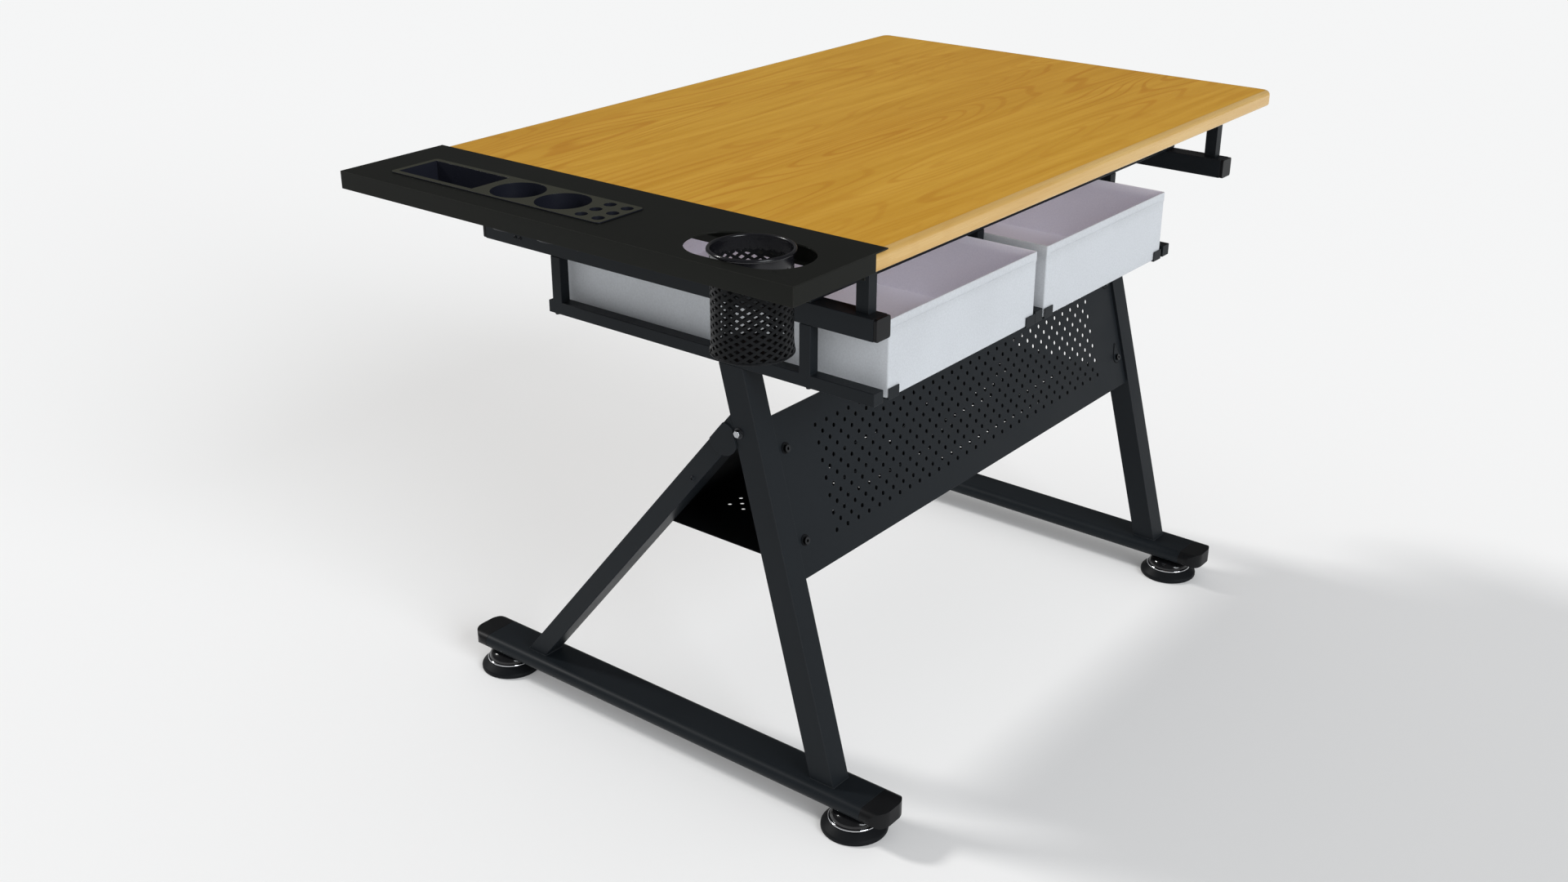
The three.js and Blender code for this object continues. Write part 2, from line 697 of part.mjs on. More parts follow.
// a closed-ended channel with a slot on each side that a drawer runs in, and its two posts
function drawerRail(index) {
  const x = DRAWER_RAIL.x[index];
  const onUpperRail = index === 0;
  const y = [DRAWER_RAIL.front, onUpperRail ? DRAWER_RAIL.back : BACK_BAR_Y + BAR];
  const { width, height, wall } = DRAWER_RAIL_SIZE;
  const z = [DRAWER_RAIL.bottom, DRAWER_RAIL.bottom + height];
  const within = [y[0] + wall, y[1] - wall];
  const right = x + width;
  const tools = [box([x + wall, right - wall], within, [z[0] + wall, z[1] - wall])];
  const slotZ = [CHANNEL.bottom, CHANNEL.top];
  if (index > 0) {
    tools.push(box([x - OVER, x + wall + LAP], within, slotZ));
  }
  if (index < 2) {
    tools.push(box([right - wall - LAP, right + OVER], within, slotZ));
  }
  const channel = cut(box([x, right], y, z), ...tools);
  const postTop = onUpperRail ? RAIL.bottom - GAP : RAIL_TOP;
  return join(
    channel,
    post(x, FRONT_BAR_Y, postTop),
    post(x, onUpperRail ? LEFT_POST_Y : BACK_BAR_Y, postTop),
  );
}

// ---------------------------------------------------------------- drawers
function drawer(x) {
  const { front, back, bottom, top } = DRAWER;
  const wall = DRAWER_WALL;
  const outer = box([x, x + DRAWER_WIDTH], [front, back], [bottom, top]);
  const inner = box(
    [x + wall, x + DRAWER_WIDTH - wall],
    [front + wall, back - wall],
    [bottom + wall, top + OVER],
  );
  return cut(outer, inner);
}

// a strip under one bottom edge of a drawer, with a front tab and a tongue in the channel
function drawerRunner(edge, side, channelFace) {
  const { sheet, width, tabTop, backInset } = RUNNER;
  const ordered = (a, b) => [a, b].sort((p, q) => p - q);
  const stripX = ordered(edge, edge - side * width);
  const top = DRAWER.bottom - GAP;
  const bottom = top - sheet;
  const front = DRAWER.front - GAP - sheet;
  const back = DRAWER.back - backInset;
  const web = channelFace - side * TONGUE.fromWall;
  const webBack = web - side * sheet;
  const tongueY = [back - TONGUE.length, back];
  const tongueZ = CHANNEL.bottom + TONGUE.fromFloor;
  return join(
    box(stripX, [front, back], [bottom, top]),
    box(stripX, [front, front + sheet], [bottom, tabTop]),
    box(ordered(edge - side * TONGUE.lap, webBack), tongueY, [bottom, top]),
    box(ordered(web, webBack), tongueY, [bottom, tongueZ + sheet]),
    box(ordered(webBack, channelFace + side * TONGUE.reach), tongueY, [tongueZ, tongueZ + sheet]),
  );
}

// ---------------------------------------------------------------- perforated sheets
function panelX() {
  return [SIDE_X.left + LEG_WIDTH + PANEL.play, SIDE_X.right - PANEL.play];
}

function frontPanel() {
  const x = panelX();
  const half = PANEL.height / 2;
  const { corner } = PANEL;
  const outline = new THREE.Shape();
  outline.moveTo(x[0] + corner, -half);
  outline.lineTo(x[1] - corner, -half);
  outline.absarc(x[1] - corner, -half + corner, corner, -Math.PI / 2, 0, false);
  outline.lineTo(x[1], half);
  outline.lineTo(x[0], half);
  outline.absarc(x[0] + corner, -half + corner, corner, Math.PI, 1.5 * Math.PI, false);
  const face = [-PANEL.inset - PANEL.thick, -PANEL.inset];
  const through = [face[0] - OVER, face[1] + OVER];
  const bores = panelBoltPlaces().map(([u, v]) => pinZ(u, v, PANEL_BOLT.hole, through, BOLT_ROUND));
  return onPanelPlane(cut(alongZ(outline, face, 6), ...bores));
}

function panelBoltPlaces() {
  const left = SIDE_X.left + LEG_WIDTH + PANEL_BOLT.side;
  const right = SIDE_X.right - PANEL_BOLT.side;
  const { rise } = PANEL_BOLT;
  return [[left, rise], [left, -rise], [right, rise], [right, -rise]];
}

function panelBolt([x, y]) {
  const { head, height, socket, shank, length } = PANEL_SCREW;
  const face = -PANEL.inset + GAP;
  const solidBolt = join(
    pinZ(x, y, head, [face, face + height], 20),
    pinZ(x, y, shank, [face - length, face + LAP], BOLT_ROUND),
  );
  return onPanelPlane(cut(solidBolt, pinZ(x, y, socket, [face + height / 2, face + height + OVER], 6)));
}

// outline, seen from the side, of a strip inside the depth of a rear leg
function stripInRearLeg(front, back, [low, high]) {
  return polygon([
    [legY(REAR_LEG, low) + front, low],
    [legY(REAR_LEG, low) + back, low],
    [legY(REAR_LEG, high) + back, high],
    [legY(REAR_LEG, high) + front, high],
  ]);
}

// a sheet bent into a flat shelf and a back that leans along the rear legs, with an ear beside each leg
function shelf() {
  const { top, front, ear, drop } = SHELF;
  const [left, right] = panelX();
  const thick = PANEL.thick;
  const { inLeg, tab } = SHELF_BACK;
  const across = inLeg + thick * Math.sqrt(1 + REAR_LEG.lean ** 2);
  const flat = box([left, right], [front, legY(REAR_LEG, top) + across - LAP], [top - thick, top]);
  const back = alongX(stripInRearLeg(inLeg, across, [top - 2 * LAP, SHELF_BACK.top]), [left + LAP, right - LAP]);
  const ears = [[left + thick, left + 2 * thick], [right - 2 * thick, right - thick]].flatMap((x) => [
    box(x, [front + thick, front + ear], [top - drop, top - LAP]),
    alongX(stripInRearLeg(inLeg - tab.reach, inLeg + LAP, tab.z), x),
  ]);
  return join(flat, back, ...ears);
}

// ---------------------------------------------------------------- assembly
const frame = group();
const top = group();

add(top, 'table_top', boardCore(BAND_WIDTH + GAP), 'wood');
add(top, 'top_edge_band', edgeBand(), 'edge');
add(top, 'side_tray', tray(), 'steel');
add(top, 'tray_organiser', organiser(), 'olive');
add(top, 'mesh_cup', meshCup(), 'steel');

const SIDES = [
  { side: 'left', inward: 1, legTop: DRAWER_RAIL.bottom - GAP },
  { side: 'right', inward: -1, legTop: RAIL.bottom - GAP },
];

for (const { side, inward, legTop } of SIDES) {
  const sideFrame = group(frame);
  sideFrame.position.x = SIDE_X[side];
  add(sideFrame, `base_tube_${side}`, baseTube(), 'steel');
  add(sideFrame, `front_leg_${side}`, frontLeg(inward, legTop), 'steel');
  add(sideFrame, `rear_leg_${side}`, rearLeg(), 'steel');
  add(sideFrame, `knee_plate_${side}`, kneePlate(), 'steel');
  add(sideFrame, `knee_bolt_${side}`, kneeBolt(), 'chrome');
  add(sideFrame, `upper_rail_${side}`, railTube(), 'steel');
  add(sideFrame, `hinge_post_${side}`, hingePost(), 'steel');
  add(sideFrame, `arm_track_${side}`, armTrack(), 'steel');
  for (const [end, direction] of [['front', -1], ['back', 1]]) {
    add(sideFrame, `base_cap_${side}_${end}`, baseCap(direction), 'plastic');
    add(sideFrame, `rail_cap_${side}_${end}`, railCap(direction), 'plastic');
    add(sideFrame, `foot_${side}_${end}`, levellingFoot(FOOT_Y[end]), 'rubber');
    add(sideFrame, `foot_ring_${side}_${end}`, footRing(FOOT_Y[end]), 'chrome');
  }
  const sideTop = group(top);
  sideTop.position.x = SIDE_X[side];
  add(sideTop, `hinge_bracket_${side}`, hingeBracket(), 'steel');
  add(sideTop, `arm_bracket_${side}`, armBracket(), 'steel');
  add(sideTop, `prop_arm_${side}`, propArm(), 'steel');
}

add(frame, 'cross_bar_front', crossBar(FRONT_BAR_Y), 'steel');
add(frame, 'cross_bar_back', crossBar(BACK_BAR_Y), 'steel');
['left', 'middle', 'right'].forEach((place, index) => {
  add(frame, `drawer_rail_${place}`, drawerRail(index), 'steel');
});
add(frame, 'front_panel', frontPanel(), 'steel');
add(frame, 'shelf_panel', shelf(), 'steel');
panelBoltPlaces().forEach((place, index) => {
  add(frame, `panel_bolt_${index + 1}`, panelBolt(place), 'chrome');
});

['left', 'right'].forEach((side, index) => {
  const body = group();
  const x = DRAWER.x[index];
  const leftFace = DRAWER_RAIL.x[index] + DRAWER_RAIL_SIZE.width;
  const rightFace = DRAWER_RAIL.x[index + 1];
  add(body, `drawer_${side}`, drawer(x), 'fabric');
  add(body, `runner_${side}_outer`, drawerRunner(x, -1, leftFace), 'steel');
  add(body, `runner_${side}_inner`, drawerRunner(x + DRAWER_WIDTH, 1, rightFace), 'steel');
});

export default table;
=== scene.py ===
"""Looks of the drafting table: materials, perforated sheets, mesh cup, fabric drawers,
small fasteners, floor, lights and camera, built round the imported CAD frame.
Metres, +Z up, the same frame as the CAD."""
import math

import bmesh
import bpy
from mathutils import Matrix, Vector


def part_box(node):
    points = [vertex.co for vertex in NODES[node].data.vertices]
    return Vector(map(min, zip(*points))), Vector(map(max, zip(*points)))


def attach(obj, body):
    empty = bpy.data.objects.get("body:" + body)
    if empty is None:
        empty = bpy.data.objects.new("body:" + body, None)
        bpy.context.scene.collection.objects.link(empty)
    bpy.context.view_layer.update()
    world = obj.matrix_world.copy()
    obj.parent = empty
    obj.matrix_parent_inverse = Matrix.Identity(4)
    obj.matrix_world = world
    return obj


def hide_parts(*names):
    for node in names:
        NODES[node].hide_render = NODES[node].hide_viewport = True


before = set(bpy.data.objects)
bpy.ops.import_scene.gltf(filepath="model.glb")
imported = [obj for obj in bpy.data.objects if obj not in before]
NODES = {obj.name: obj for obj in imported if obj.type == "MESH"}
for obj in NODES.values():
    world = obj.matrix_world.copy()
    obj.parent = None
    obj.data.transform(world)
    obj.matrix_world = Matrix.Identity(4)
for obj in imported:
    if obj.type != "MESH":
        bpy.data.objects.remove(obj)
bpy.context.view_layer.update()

MM = 0.001
SIDES = ("left", "right")
ENDS = ("front", "back")


# ---------------------------------------------------------------- material helpers
class Shader:
    """One node material, with short ways to add and link nodes."""

    def __init__(self, name):
        self.material = bpy.data.materials.new(name)
        self.material.use_nodes = True
        self.tree = self.material.node_tree
        self.surface = self.tree.nodes["Principled BSDF"]
        self.place = self.add("ShaderNodeTexCoord").outputs["Object"]

    def add(self, kind, settings=None, **inputs):
        node = self.tree.nodes.new(kind)
        for key, value in (settings or {}).items():
            setattr(node, key, value)
        for key, value in inputs.items():
            self.put(node, key.replace("_", " "), value)
        return node

    def put(self, node, socket, value):
        if isinstance(socket, str) and socket.isdigit():
            socket = int(socket)
        if isinstance(value, bpy.types.NodeSocket):
            self.tree.links.new(value, node.inputs[socket])
        else:
            node.inputs[socket].default_value = value

    def set(self, **inputs):
        for key, value in inputs.items():
            self.put(self.surface, key.replace("_", " "), value)

    def scaled(self, scale, turn=(0, 0, 0)):
        node = self.add("ShaderNodeMapping", Vector=self.place, Scale=scale, Rotation=turn)
        return node.outputs[0]

    def noise(self, where, scale, detail=2.0, rough=0.5, warp=0.0):
        node = self.add(
            "ShaderNodeTexNoise",
            Vector=where,
            Scale=scale,
            Detail=detail,
            Roughness=rough,
            Distortion=warp,
        )
        return node.outputs["Fac"]

    def math(self, operation, a, b=0.0, clamp=False):
        node = self.add("ShaderNodeMath", {"operation": operation, "use_clamp": clamp})
        self.put(node, 0, a)
        self.put(node, 1, b)
        return node.outputs[0]

    def levels(self, factor, low, high, to_low=0.0, to_high=1.0):
        node = self.add("ShaderNodeMapRange", {"interpolation_type": "SMOOTHSTEP"}, Value=factor)
        for key, value in zip((1, 2, 3, 4), (low, high, to_low, to_high)):
            self.put(node, key, value)
        return node.outputs[0]

    def mix(self, factor, a, b, blend="MIX"):
        node = self.add("ShaderNodeMix", {"data_type": "RGBA", "blend_type": blend})
        self.put(node, 0, factor)
        self.put(node, 6, a if isinstance(a, bpy.types.NodeSocket) else (*a, 1))
        self.put(node, 7, b if isinstance(b, bpy.types.NodeSocket) else (*b, 1))
        return node.outputs[2]

    def bump(self, height, strength, distance):
        node = self.add("ShaderNodeBump", Height=height, Strength=strength, Distance=distance)
        return node.outputs[0]

    def edges(self, radius):
        """1 on the edges of the shape, fading to 0 within about the radius."""
        round_normal = self.add("ShaderNodeBevel", {"samples": 4}, Radius=radius).outputs[0]
        flat_normal = self.add("ShaderNodeNewGeometry").outputs["Normal"]
        node = self.add("ShaderNodeVectorMath", {"operation": "DOT_PRODUCT"})
        self.put(node, 0, round_normal)
        self.put(node, 1, flat_normal)
        return self.levels(node.outputs["Value"], 0.98, 0.86)


# ---------------------------------------------------------------- materials
def powder_coat():
    s = Shader("black_powder_coat")
    peel = s.noise(s.place, 900, 2)
    cloud = s.noise(s.place, 14, 3)
    # Edges are mixed towards a lighter grey: partly edge wear, partly a painted highlight.
    wear_and_edge_highlight = s.math("MULTIPLY", s.edges(0.0012), s.noise(s.place, 60, 3))
    base = s.mix(cloud, (0.0098, 0.0120, 0.0145), (0.0128, 0.0158, 0.0188))
    s.set(
        Base_Color=s.mix(wear_and_edge_highlight, base, (0.040, 0.043, 0.046)),
        Roughness=s.levels(cloud, 0.2, 0.8, 0.38, 0.48),
        Specular_IOR_Level=0.10,
        Normal=s.bump(peel, 0.22, 0.0002),
    )
    return s.material


def tray_coat():
    s = Shader("black_tray_coat")
    peel = s.noise(s.place, 1100, 2)
    cloud = s.noise(s.place, 9, 3)
    # Edges are mixed towards a lighter grey: partly edge wear, partly a painted highlight.
    wear_and_edge_highlight = s.math("MULTIPLY", s.edges(0.001), s.noise(s.place, 60, 3))
    base = s.mix(cloud, (0.0090, 0.0096, 0.0082), (0.0120, 0.0126, 0.0108))
    s.set(
        Base_Color=s.mix(wear_and_edge_highlight, base, (0.034, 0.034, 0.030)),
        Roughness=s.levels(cloud, 0.2, 0.8, 0.42, 0.52),
        Specular_IOR_Level=0.07,
        Normal=s.bump(peel, 0.25, 0.0002),
    )
    return s.material


def moulded(name, dark, light, rough, grain=700, depth=0.2, shine=0.12):
    s = Shader(name)
    grains = s.noise(s.place, grain, 2)
    cloud = s.noise(s.place, 20, 2)
    s.set(
        Base_Color=s.mix(cloud, dark, light),
        Roughness=s.levels(cloud, 0.2, 0.8, rough - 0.05, rough + 0.06),
        Specular_IOR_Level=shine,
        Normal=s.bump(grains, depth, 0.0003),
    )
    return s.material


def polished(name, color, rough):
    s = Shader(name)
    haze = s.noise(s.place, 240, 3)
    s.set(
        Base_Color=s.mix(haze, color, tuple(c * 0.93 for c in color)),
        Metallic=1.0,
        Roughness=s.levels(haze, 0.3, 0.8, rough, rough + 0.08),
    )
    return s.material


def wood(name, dark, light, line, rough, shine=0.12):
    """Plain-sawn figure along X: long cathedral rings, streaks and fine pores."""
    s = Shader(name)
    field = s.noise(s.scaled((0.75, 5.2, 5.2)), 1.7, 1.5, 0.4, 0.2)
    rings = s.math("SINE", s.math("MULTIPLY", field, 150.0))
    ring_lines = s.levels(rings, 0.45, 1.0)
    strength = s.levels(s.noise(s.scaled((0.8, 3.2, 3.2)), 2.3, 2), 0.38, 0.66, 0.08, 0.52)
    streak = s.noise(s.scaled((0.9, 24, 24)), 3.0, 4, 0.6)
    fibre = s.noise(s.scaled((10, 380, 380)), 2.0, 3, 0.6)
    pore = s.levels(s.noise(s.scaled((16, 620, 620)), 2.2, 2), 0.60, 0.72)
    cloud = s.noise(s.scaled((0.8, 1.6, 1.6)), 2.0, 2)
    color = s.mix(s.levels(streak, 0.2, 0.8), dark, light)
    color = s.mix(s.math("MULTIPLY", s.levels(cloud, 0.35, 0.7), 0.25), color, line)
    color = s.mix(s.math("MULTIPLY", ring_lines, strength), color, line)
    color = s.mix(s.math("MULTIPLY", fibre, 0.16), color, dark)
    color = s.mix(s.math("MULTIPLY", pore, 0.20), color, tuple(c * 0.55 for c in line))
    s.set(
        Base_Color=color,
        Roughness=s.levels(streak, 0.2, 0.8, rough - 0.04, rough + 0.05),
        Specular_IOR_Level=shine,
        Normal=s.bump(s.math("SUBTRACT", fibre, pore), 0.10, 0.0003),
    )
    return s.material


def canvas(name, dark, light, painted_glow=0.0, pitch=0.0011):
    """Plain weave on every face of a box, with a faint painted glow standing in for the light that comes
    through thin cloth.
    """
    s = Shader(name)
    axes = s.add("ShaderNodeSeparateXYZ", Vector=s.place).outputs
    turns = [s.math("MULTIPLY", axis, 2 * math.pi / pitch) for axis in axes]
    waves = [s.math("SINE", turn) for turn in turns]
    normal = s.add("ShaderNodeNewGeometry").outputs["Normal"]
    faces = s.add("ShaderNodeSeparateXYZ", Vector=normal).outputs
    weights = [s.math("MULTIPLY", face, face) for face in faces]
    weave = None
    for flat, (u, v) in zip(weights, ((1, 2), (0, 2), (0, 1))):
        part = s.math("MULTIPLY", s.math("MULTIPLY", waves[u], waves[v]), flat)
        weave = part if weave is None else s.math("ADD", weave, part)
    height = s.math("MULTIPLY_ADD", weave, 0.5)
    slub = s.noise(s.place, 480, 3, 0.6)
    cloud = s.noise(s.place, 7, 3)
    tone = s.math("ADD", s.math("MULTIPLY", slub, 0.6), s.math("MULTIPLY", cloud, 0.4))
    color = s.mix(s.levels(tone, 0.3, 0.7), dark, light)
    s.set(
        Base_Color=color,
        Emission_Color=color,
        Emission_Strength=painted_glow,
        Roughness=0.88,
        Sheen_Weight=0.15,
        Sheen_Roughness=0.5,
        Normal=s.bump(s.math("ADD", height, slub), 0.25, 0.00025),
    )
    return s.material


STEEL = powder_coat()
# A darker copy of the black steel for the shelf, its plates and the bolt rims, which sit in shade: painted
# shade.
SHADED_STEEL = moulded("shelf_coat_painted_shade", (0.0055, 0.0060, 0.0066), (0.0080, 0.0087, 0.0095), 0.50, 900, 0.2, 0.05)
CUP_STEEL = moulded("cup_coat", (0.0075, 0.0080, 0.0088), (0.0105, 0.0112, 0.0122), 0.42, 900, 0.2, 0.08)
TRAY_COAT = tray_coat()
BLACK_PLASTIC = moulded("black_plastic", (0.0070, 0.0072, 0.0078), (0.0105, 0.0108, 0.0118), 0.36)
OLIVE = moulded("olive_plastic", (0.032, 0.032, 0.022), (0.040, 0.040, 0.029), 0.42, 520)
WELL_PLASTIC = moulded("well_plastic", (0.010, 0.011, 0.017), (0.014, 0.015, 0.023), 0.30, 520, 0.1, 0.4)
RUBBER = moulded("foot_rubber", (0.0065, 0.0072, 0.0085), (0.0100, 0.0110, 0.0125), 0.50, 900, 0.3, 0.08)
GLOSS = moulded("gloss_black", (0.006, 0.006, 0.007), (0.008, 0.008, 0.009), 0.14, 60, 0.02, 0.5)
RIM_COAT = moulded("cup_rim_coat", (0.006, 0.006, 0.008), (0.009, 0.009, 0.011), 0.20, 300, 0.03, 0.42)
CHROME = polished("chrome", (0.86, 0.87, 0.90), 0.06)
BOLT = polished("dark_bolt_steel", (0.045, 0.047, 0.050), 0.30)
KNEE_STEEL = polished("knee_bolt_steel", (0.42, 0.43, 0.45), 0.20)
WOOD = wood("honey_wood", (0.520, 0.262, 0.018), (0.630, 0.355, 0.046), (0.425, 0.158, 0.006), 0.36)
WOOD_EDGE = wood("edge_wood", (0.550, 0.335, 0.095), (0.670, 0.465, 0.190), (0.470, 0.240, 0.050), 0.26, 0.45)
BACKING = moulded("board_backing", (0.28, 0.135, 0.075), (0.34, 0.165, 0.095), 0.60, 400, 0.1)
# Both fabrics glow faintly: painted light for the light that passes through the thin cloth.
FABRIC = canvas("drawer_canvas", (0.465, 0.485, 0.51), (0.54, 0.565, 0.595), 0.09)
FABRIC_INSIDE = canvas("drawer_lining", (0.775, 0.765, 0.855), (0.845, 0.835, 0.92), 0.10)


# ---------------------------------------------------------------- dressing the CAD nodes
OPEN_SHEETS = ("side_tray", "tray_organiser")


def dress(node, material, radius=0.0, segments=3, limit=30):
    """Gives a CAD node its material and rounds its edges with modifiers."""
    obj = NODES[node]
    obj.data.materials.clear()
    obj.data.materials.append(material)
    if "custom_normal" in obj.data.attributes:
        obj.data.attributes.remove(obj.data.attributes["custom_normal"])
    obj.data.polygons.foreach_set("use_smooth", [True] * len(obj.data.polygons))
    weld = obj.modifiers.new("weld", "WELD")
    weld.merge_threshold = 0.00001
    if node not in OPEN_SHEETS:
        flat = obj.modifiers.new("flat_faces", "DECIMATE")
        flat.decimate_type = "DISSOLVE"
        flat.angle_limit = math.radians(1.5)
    if radius:
        bevel = obj.modifiers.new("edges", "BEVEL")
        bevel.width = radius
        bevel.segments = segments
        bevel.limit_method = "ANGLE"
        bevel.angle_limit = math.radians(limit)
        bevel.use_clamp_overlap = True
        bevel.miter_outer = "MITER_ARC"
    normals = obj.modifiers.new("normals", "WEIGHTED_NORMAL")
    normals.keep_sharp = True
    return obj


def line_wells():
    """The insides of the organiser's bin and wells are smoother and darker than its plate."""
    organiser = NODES["tray_organiser"]
    organiser.data.materials.append(WELL_PLASTIC)
    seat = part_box("side_tray")[1].z
    for face in organiser.data.polygons:
        if face.center.z < seat or abs(face.normal.z) < 0.5:
            face.material_index = 1


def back_the_board():
    """The underside of the board has a plain dull backing sheet."""
    board = NODES["table_top"]
    board.data.materials.append(BACKING)
    for face in board.data.polygons:
        if face.normal.z < -0.5:
            face.material_index = 1


for side in SIDES:
    for name, radius in (
        ("front_leg", 1.8),
        ("rear_leg", 1.8),
        ("upper_rail", 1.5),
        ("base_tube", 0.6),
        ("knee_plate", 0.7),
        ("hinge_post", 1.0),
        ("hinge_bracket", 0.5),
        ("arm_bracket", 0.5),
        ("arm_track", 0.4),
        ("prop_arm", 0.6),
    ):
        dress(f"{name}_{side}", STEEL, radius * MM)
    dress(f"knee_bolt_{side}", KNEE_STEEL, 0.5 * MM)
    dress(f"runner_{side}_outer", STEEL, 0.3 * MM, 2)
    dress(f"runner_{side}_inner", STEEL, 0.3 * MM, 2)
    for end in ENDS:
        dress(f"base_cap_{side}_{end}", BLACK_PLASTIC, 3.0 * MM, 4)
        dress(f"rail_cap_{side}_{end}", BLACK_PLASTIC, 1.2 * MM, 3)
for place in ("left", "middle", "right"):
    dress(f"drawer_rail_{place}", STEEL, 0.8 * MM)
for end in ENDS:
    dress(f"cross_bar_{end}", STEEL, 1.0 * MM)
for index in range(1, 5):
    dress(f"panel_bolt_{index}", BOLT, 0.35 * MM)
dress("side_tray", TRAY_COAT, 0.25 * MM, 2)
dress("tray_organiser", OLIVE, 0.5 * MM)
line_wells()
dress("table_top", WOOD, 0.0)
back_the_board()


# ---------------------------------------------------------------- mesh helpers
def piece(name, mesh, body, slot, *materials):
    """Puts a bmesh into the scene as a piece that rides on a body."""
    data = bpy.data.meshes.new(name)
    bmesh.ops.recalc_face_normals(mesh, faces=mesh.faces)
    mesh.to_mesh(data)
    mesh.free()
    obj = bpy.data.objects.new(name, data)
    bpy.context.scene.collection.objects.link(obj)
    for material in materials:
        data.materials.append(material)
    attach(obj, body)
    return obj


def smooth(obj, angle=40):
    """Smooth shading with creases where faces meet at more than the angle."""
    obj.data.polygons.foreach_set("use_smooth", [True] * len(obj.data.polygons))
    obj.data.set_sharp_from_angle(angle=math.radians(angle))
    return obj


def rounded(obj, radius, segments=3, limit=35):
    bevel = obj.modifiers.new("edges", "BEVEL")
    bevel.width = radius
    bevel.segments = segments
    bevel.limit_method = "ANGLE"
    bevel.angle_limit = math.radians(limit)
    obj.data.polygons.foreach_set("use_smooth", [True] * len(obj.data.polygons))
    normals = obj.modifiers.new("normals", "WEIGHTED_NORMAL")
    normals.keep_sharp = True
    return obj


def turn(mesh, profile, centre, sides=96):
    """Adds a solid turned about the vertical through centre from (radius, height) pairs."""
    rings = []
    for radius, height in profile:
        if radius < 1e-7:
            rings.append([mesh.verts.new((centre[0], centre[1], height))])
            continue
        ring = []
        for k in range(sides):
            angle = 2 * math.pi * k / sides
            x = centre[0] + radius * math.cos(angle)
            y = centre[1] + radius * math.sin(angle)
            ring.append(mesh.verts.new((x, y, height)))
        rings.append(ring)
    for low, high in zip(rings, rings[1:]):
        for k in range(sides):
            n = (k + 1) % sides
            if len(low) == 1:
                mesh.faces.new((low[0], high[n], high[k]))
            elif len(high) == 1:
                mesh.faces.new((low[k], low[n], high[0]))
            else:
                mesh.faces.new((low[k], low[n], high[n], high[k]))


def facing(direction):
    """The rotation that points +Z along a direction."""
    return Vector(direction).to_track_quat("Z", "Y").to_matrix().to_4x4()


def thicken(mesh, faces, shift):
    """Turns flat faces into a sheet by extruding them along a vector."""
    made = bmesh.ops.extrude_face_region(mesh, geom=faces)
    moved = [g for g in made["geom"] if isinstance(g, bmesh.types.BMVert)]
    bmesh.ops.translate(mesh, verts=moved, vec=shift)


def closed(verts):
    """The pairs of neighbours round a closed loop."""
    return zip(verts, verts[1:] + verts[:1])


def arc(centre, radius, start, end, steps):
    """Points on an arc in a (radius, height) plane, angles in degrees."""
    points = []
    for k in range(steps + 1):
        angle = math.radians(start + (end - start) * k / steps)
        points.append((centre[0] + radius * math.cos(angle), centre[1] + radius * math.sin(angle)))
    return points


# ---------------------------------------------------------------- wooden edge band
def edge_band():
    """The nosing round the front, right and back of the top, with a soft top roundover."""
    low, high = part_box("top_edge_band")
    core_low, core_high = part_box("table_top")
    inner = core_low.y - low.y - 0.0001
    corner = 14 * MM
    steps = 12
    # path of the outer edge and its outward direction
    path = [((low.x, low.y), (0, -1))]
    for centre, start in (
        ((high.x - corner, low.y + corner), -90),
        ((high.x - corner, high.y - corner), 0),
    ):
        for k in range(steps + 1):
            angle = math.radians(start + 90 * k / steps)
            out = (math.cos(angle), math.sin(angle))
            path.append(((centre[0] + corner * out[0], centre[1] + corner * out[1]), out))
    path.append(((low.x, high.y), (0, 1)))
    # section: (distance in from the outer face, height)
    top, bottom = high.z, low.z
    big, small = 6.5 * MM, 3.0 * MM
    section = [(inner, bottom)]
    section += [
        (small - small * math.sin(t), bottom + small - small * math.cos(t))
        for t in [math.pi / 2 * k / 6 for k in range(7)]
    ]
    section += [
        (big - big * math.cos(t), top - big + big * math.sin(t))
        for t in [math.pi / 2 * k / 10 for k in range(11)]
    ]
    section.append((inner, top))
    mesh = bmesh.new()
    rows = []
    for (x, y), (ox, oy) in path:
        rows.append([mesh.verts.new((x - ox * d, y - oy * d, z)) for d, z in section])
    count = len(section)
    for a, b in zip(rows, rows[1:]):
        for k in range(count):
            n = (k + 1) % count
            mesh.faces.new((a[k], a[n], b[n], b[k]))
    mesh.faces.new(rows[0])
    mesh.faces.new(rows[-1])
    band = smooth(piece("edge_band", mesh, "top", "wood_edge", WOOD_EDGE), 35)
    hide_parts("top_edge_band")


edge_band()


# ---------------------------------------------------------------- perforated sheets
REAR_LEAN = 0.82453  # forward lean of the rear legs for each unit of height
PANEL_LEAN = 0.26665  # backward lean of the front legs and the panel
REAR_LEG_AT_FLOOR = 256.6 * MM
SHEET = 1.5 * MM
BOLT_HOLE = 2.9 * MM
PANEL_HEIGHT = 197.7 * MM
PANEL_CORNER = 5 * MM
PANEL_BOLT = (14.8 * MM, 56 * MM)  # in from the end of the panel, and up from its middle
SHELF_TOP = 308 * MM
SHELF_IN_LEG = 14.5 * MM  # how far the shelf's back lies inside the rear legs
SHELF_EAR = 30 * MM
TAB_HEIGHTS = (378 * MM, 408 * MM)
TAB_IN_LEG = 3 * MM
LATTICE_MIDDLE = (3.3 * MM, -86.2 * MM)  # of the shelf's holes: past its middle, and from the origin
PITCH_X = 21.6 * MM
PITCH_Y = 10.85 * MM
HOLE = 2.95 * MM
ROWS = 13
HOLES_IN_ROW = 30


def circle(mesh, x, y, radius, sides):
    ring = []
    for k in range(sides):
        angle = 2 * math.pi * k / sides
        ring.append(mesh.verts.new((x + radius * math.cos(angle), y + radius * math.sin(angle), 0)))
    return ring


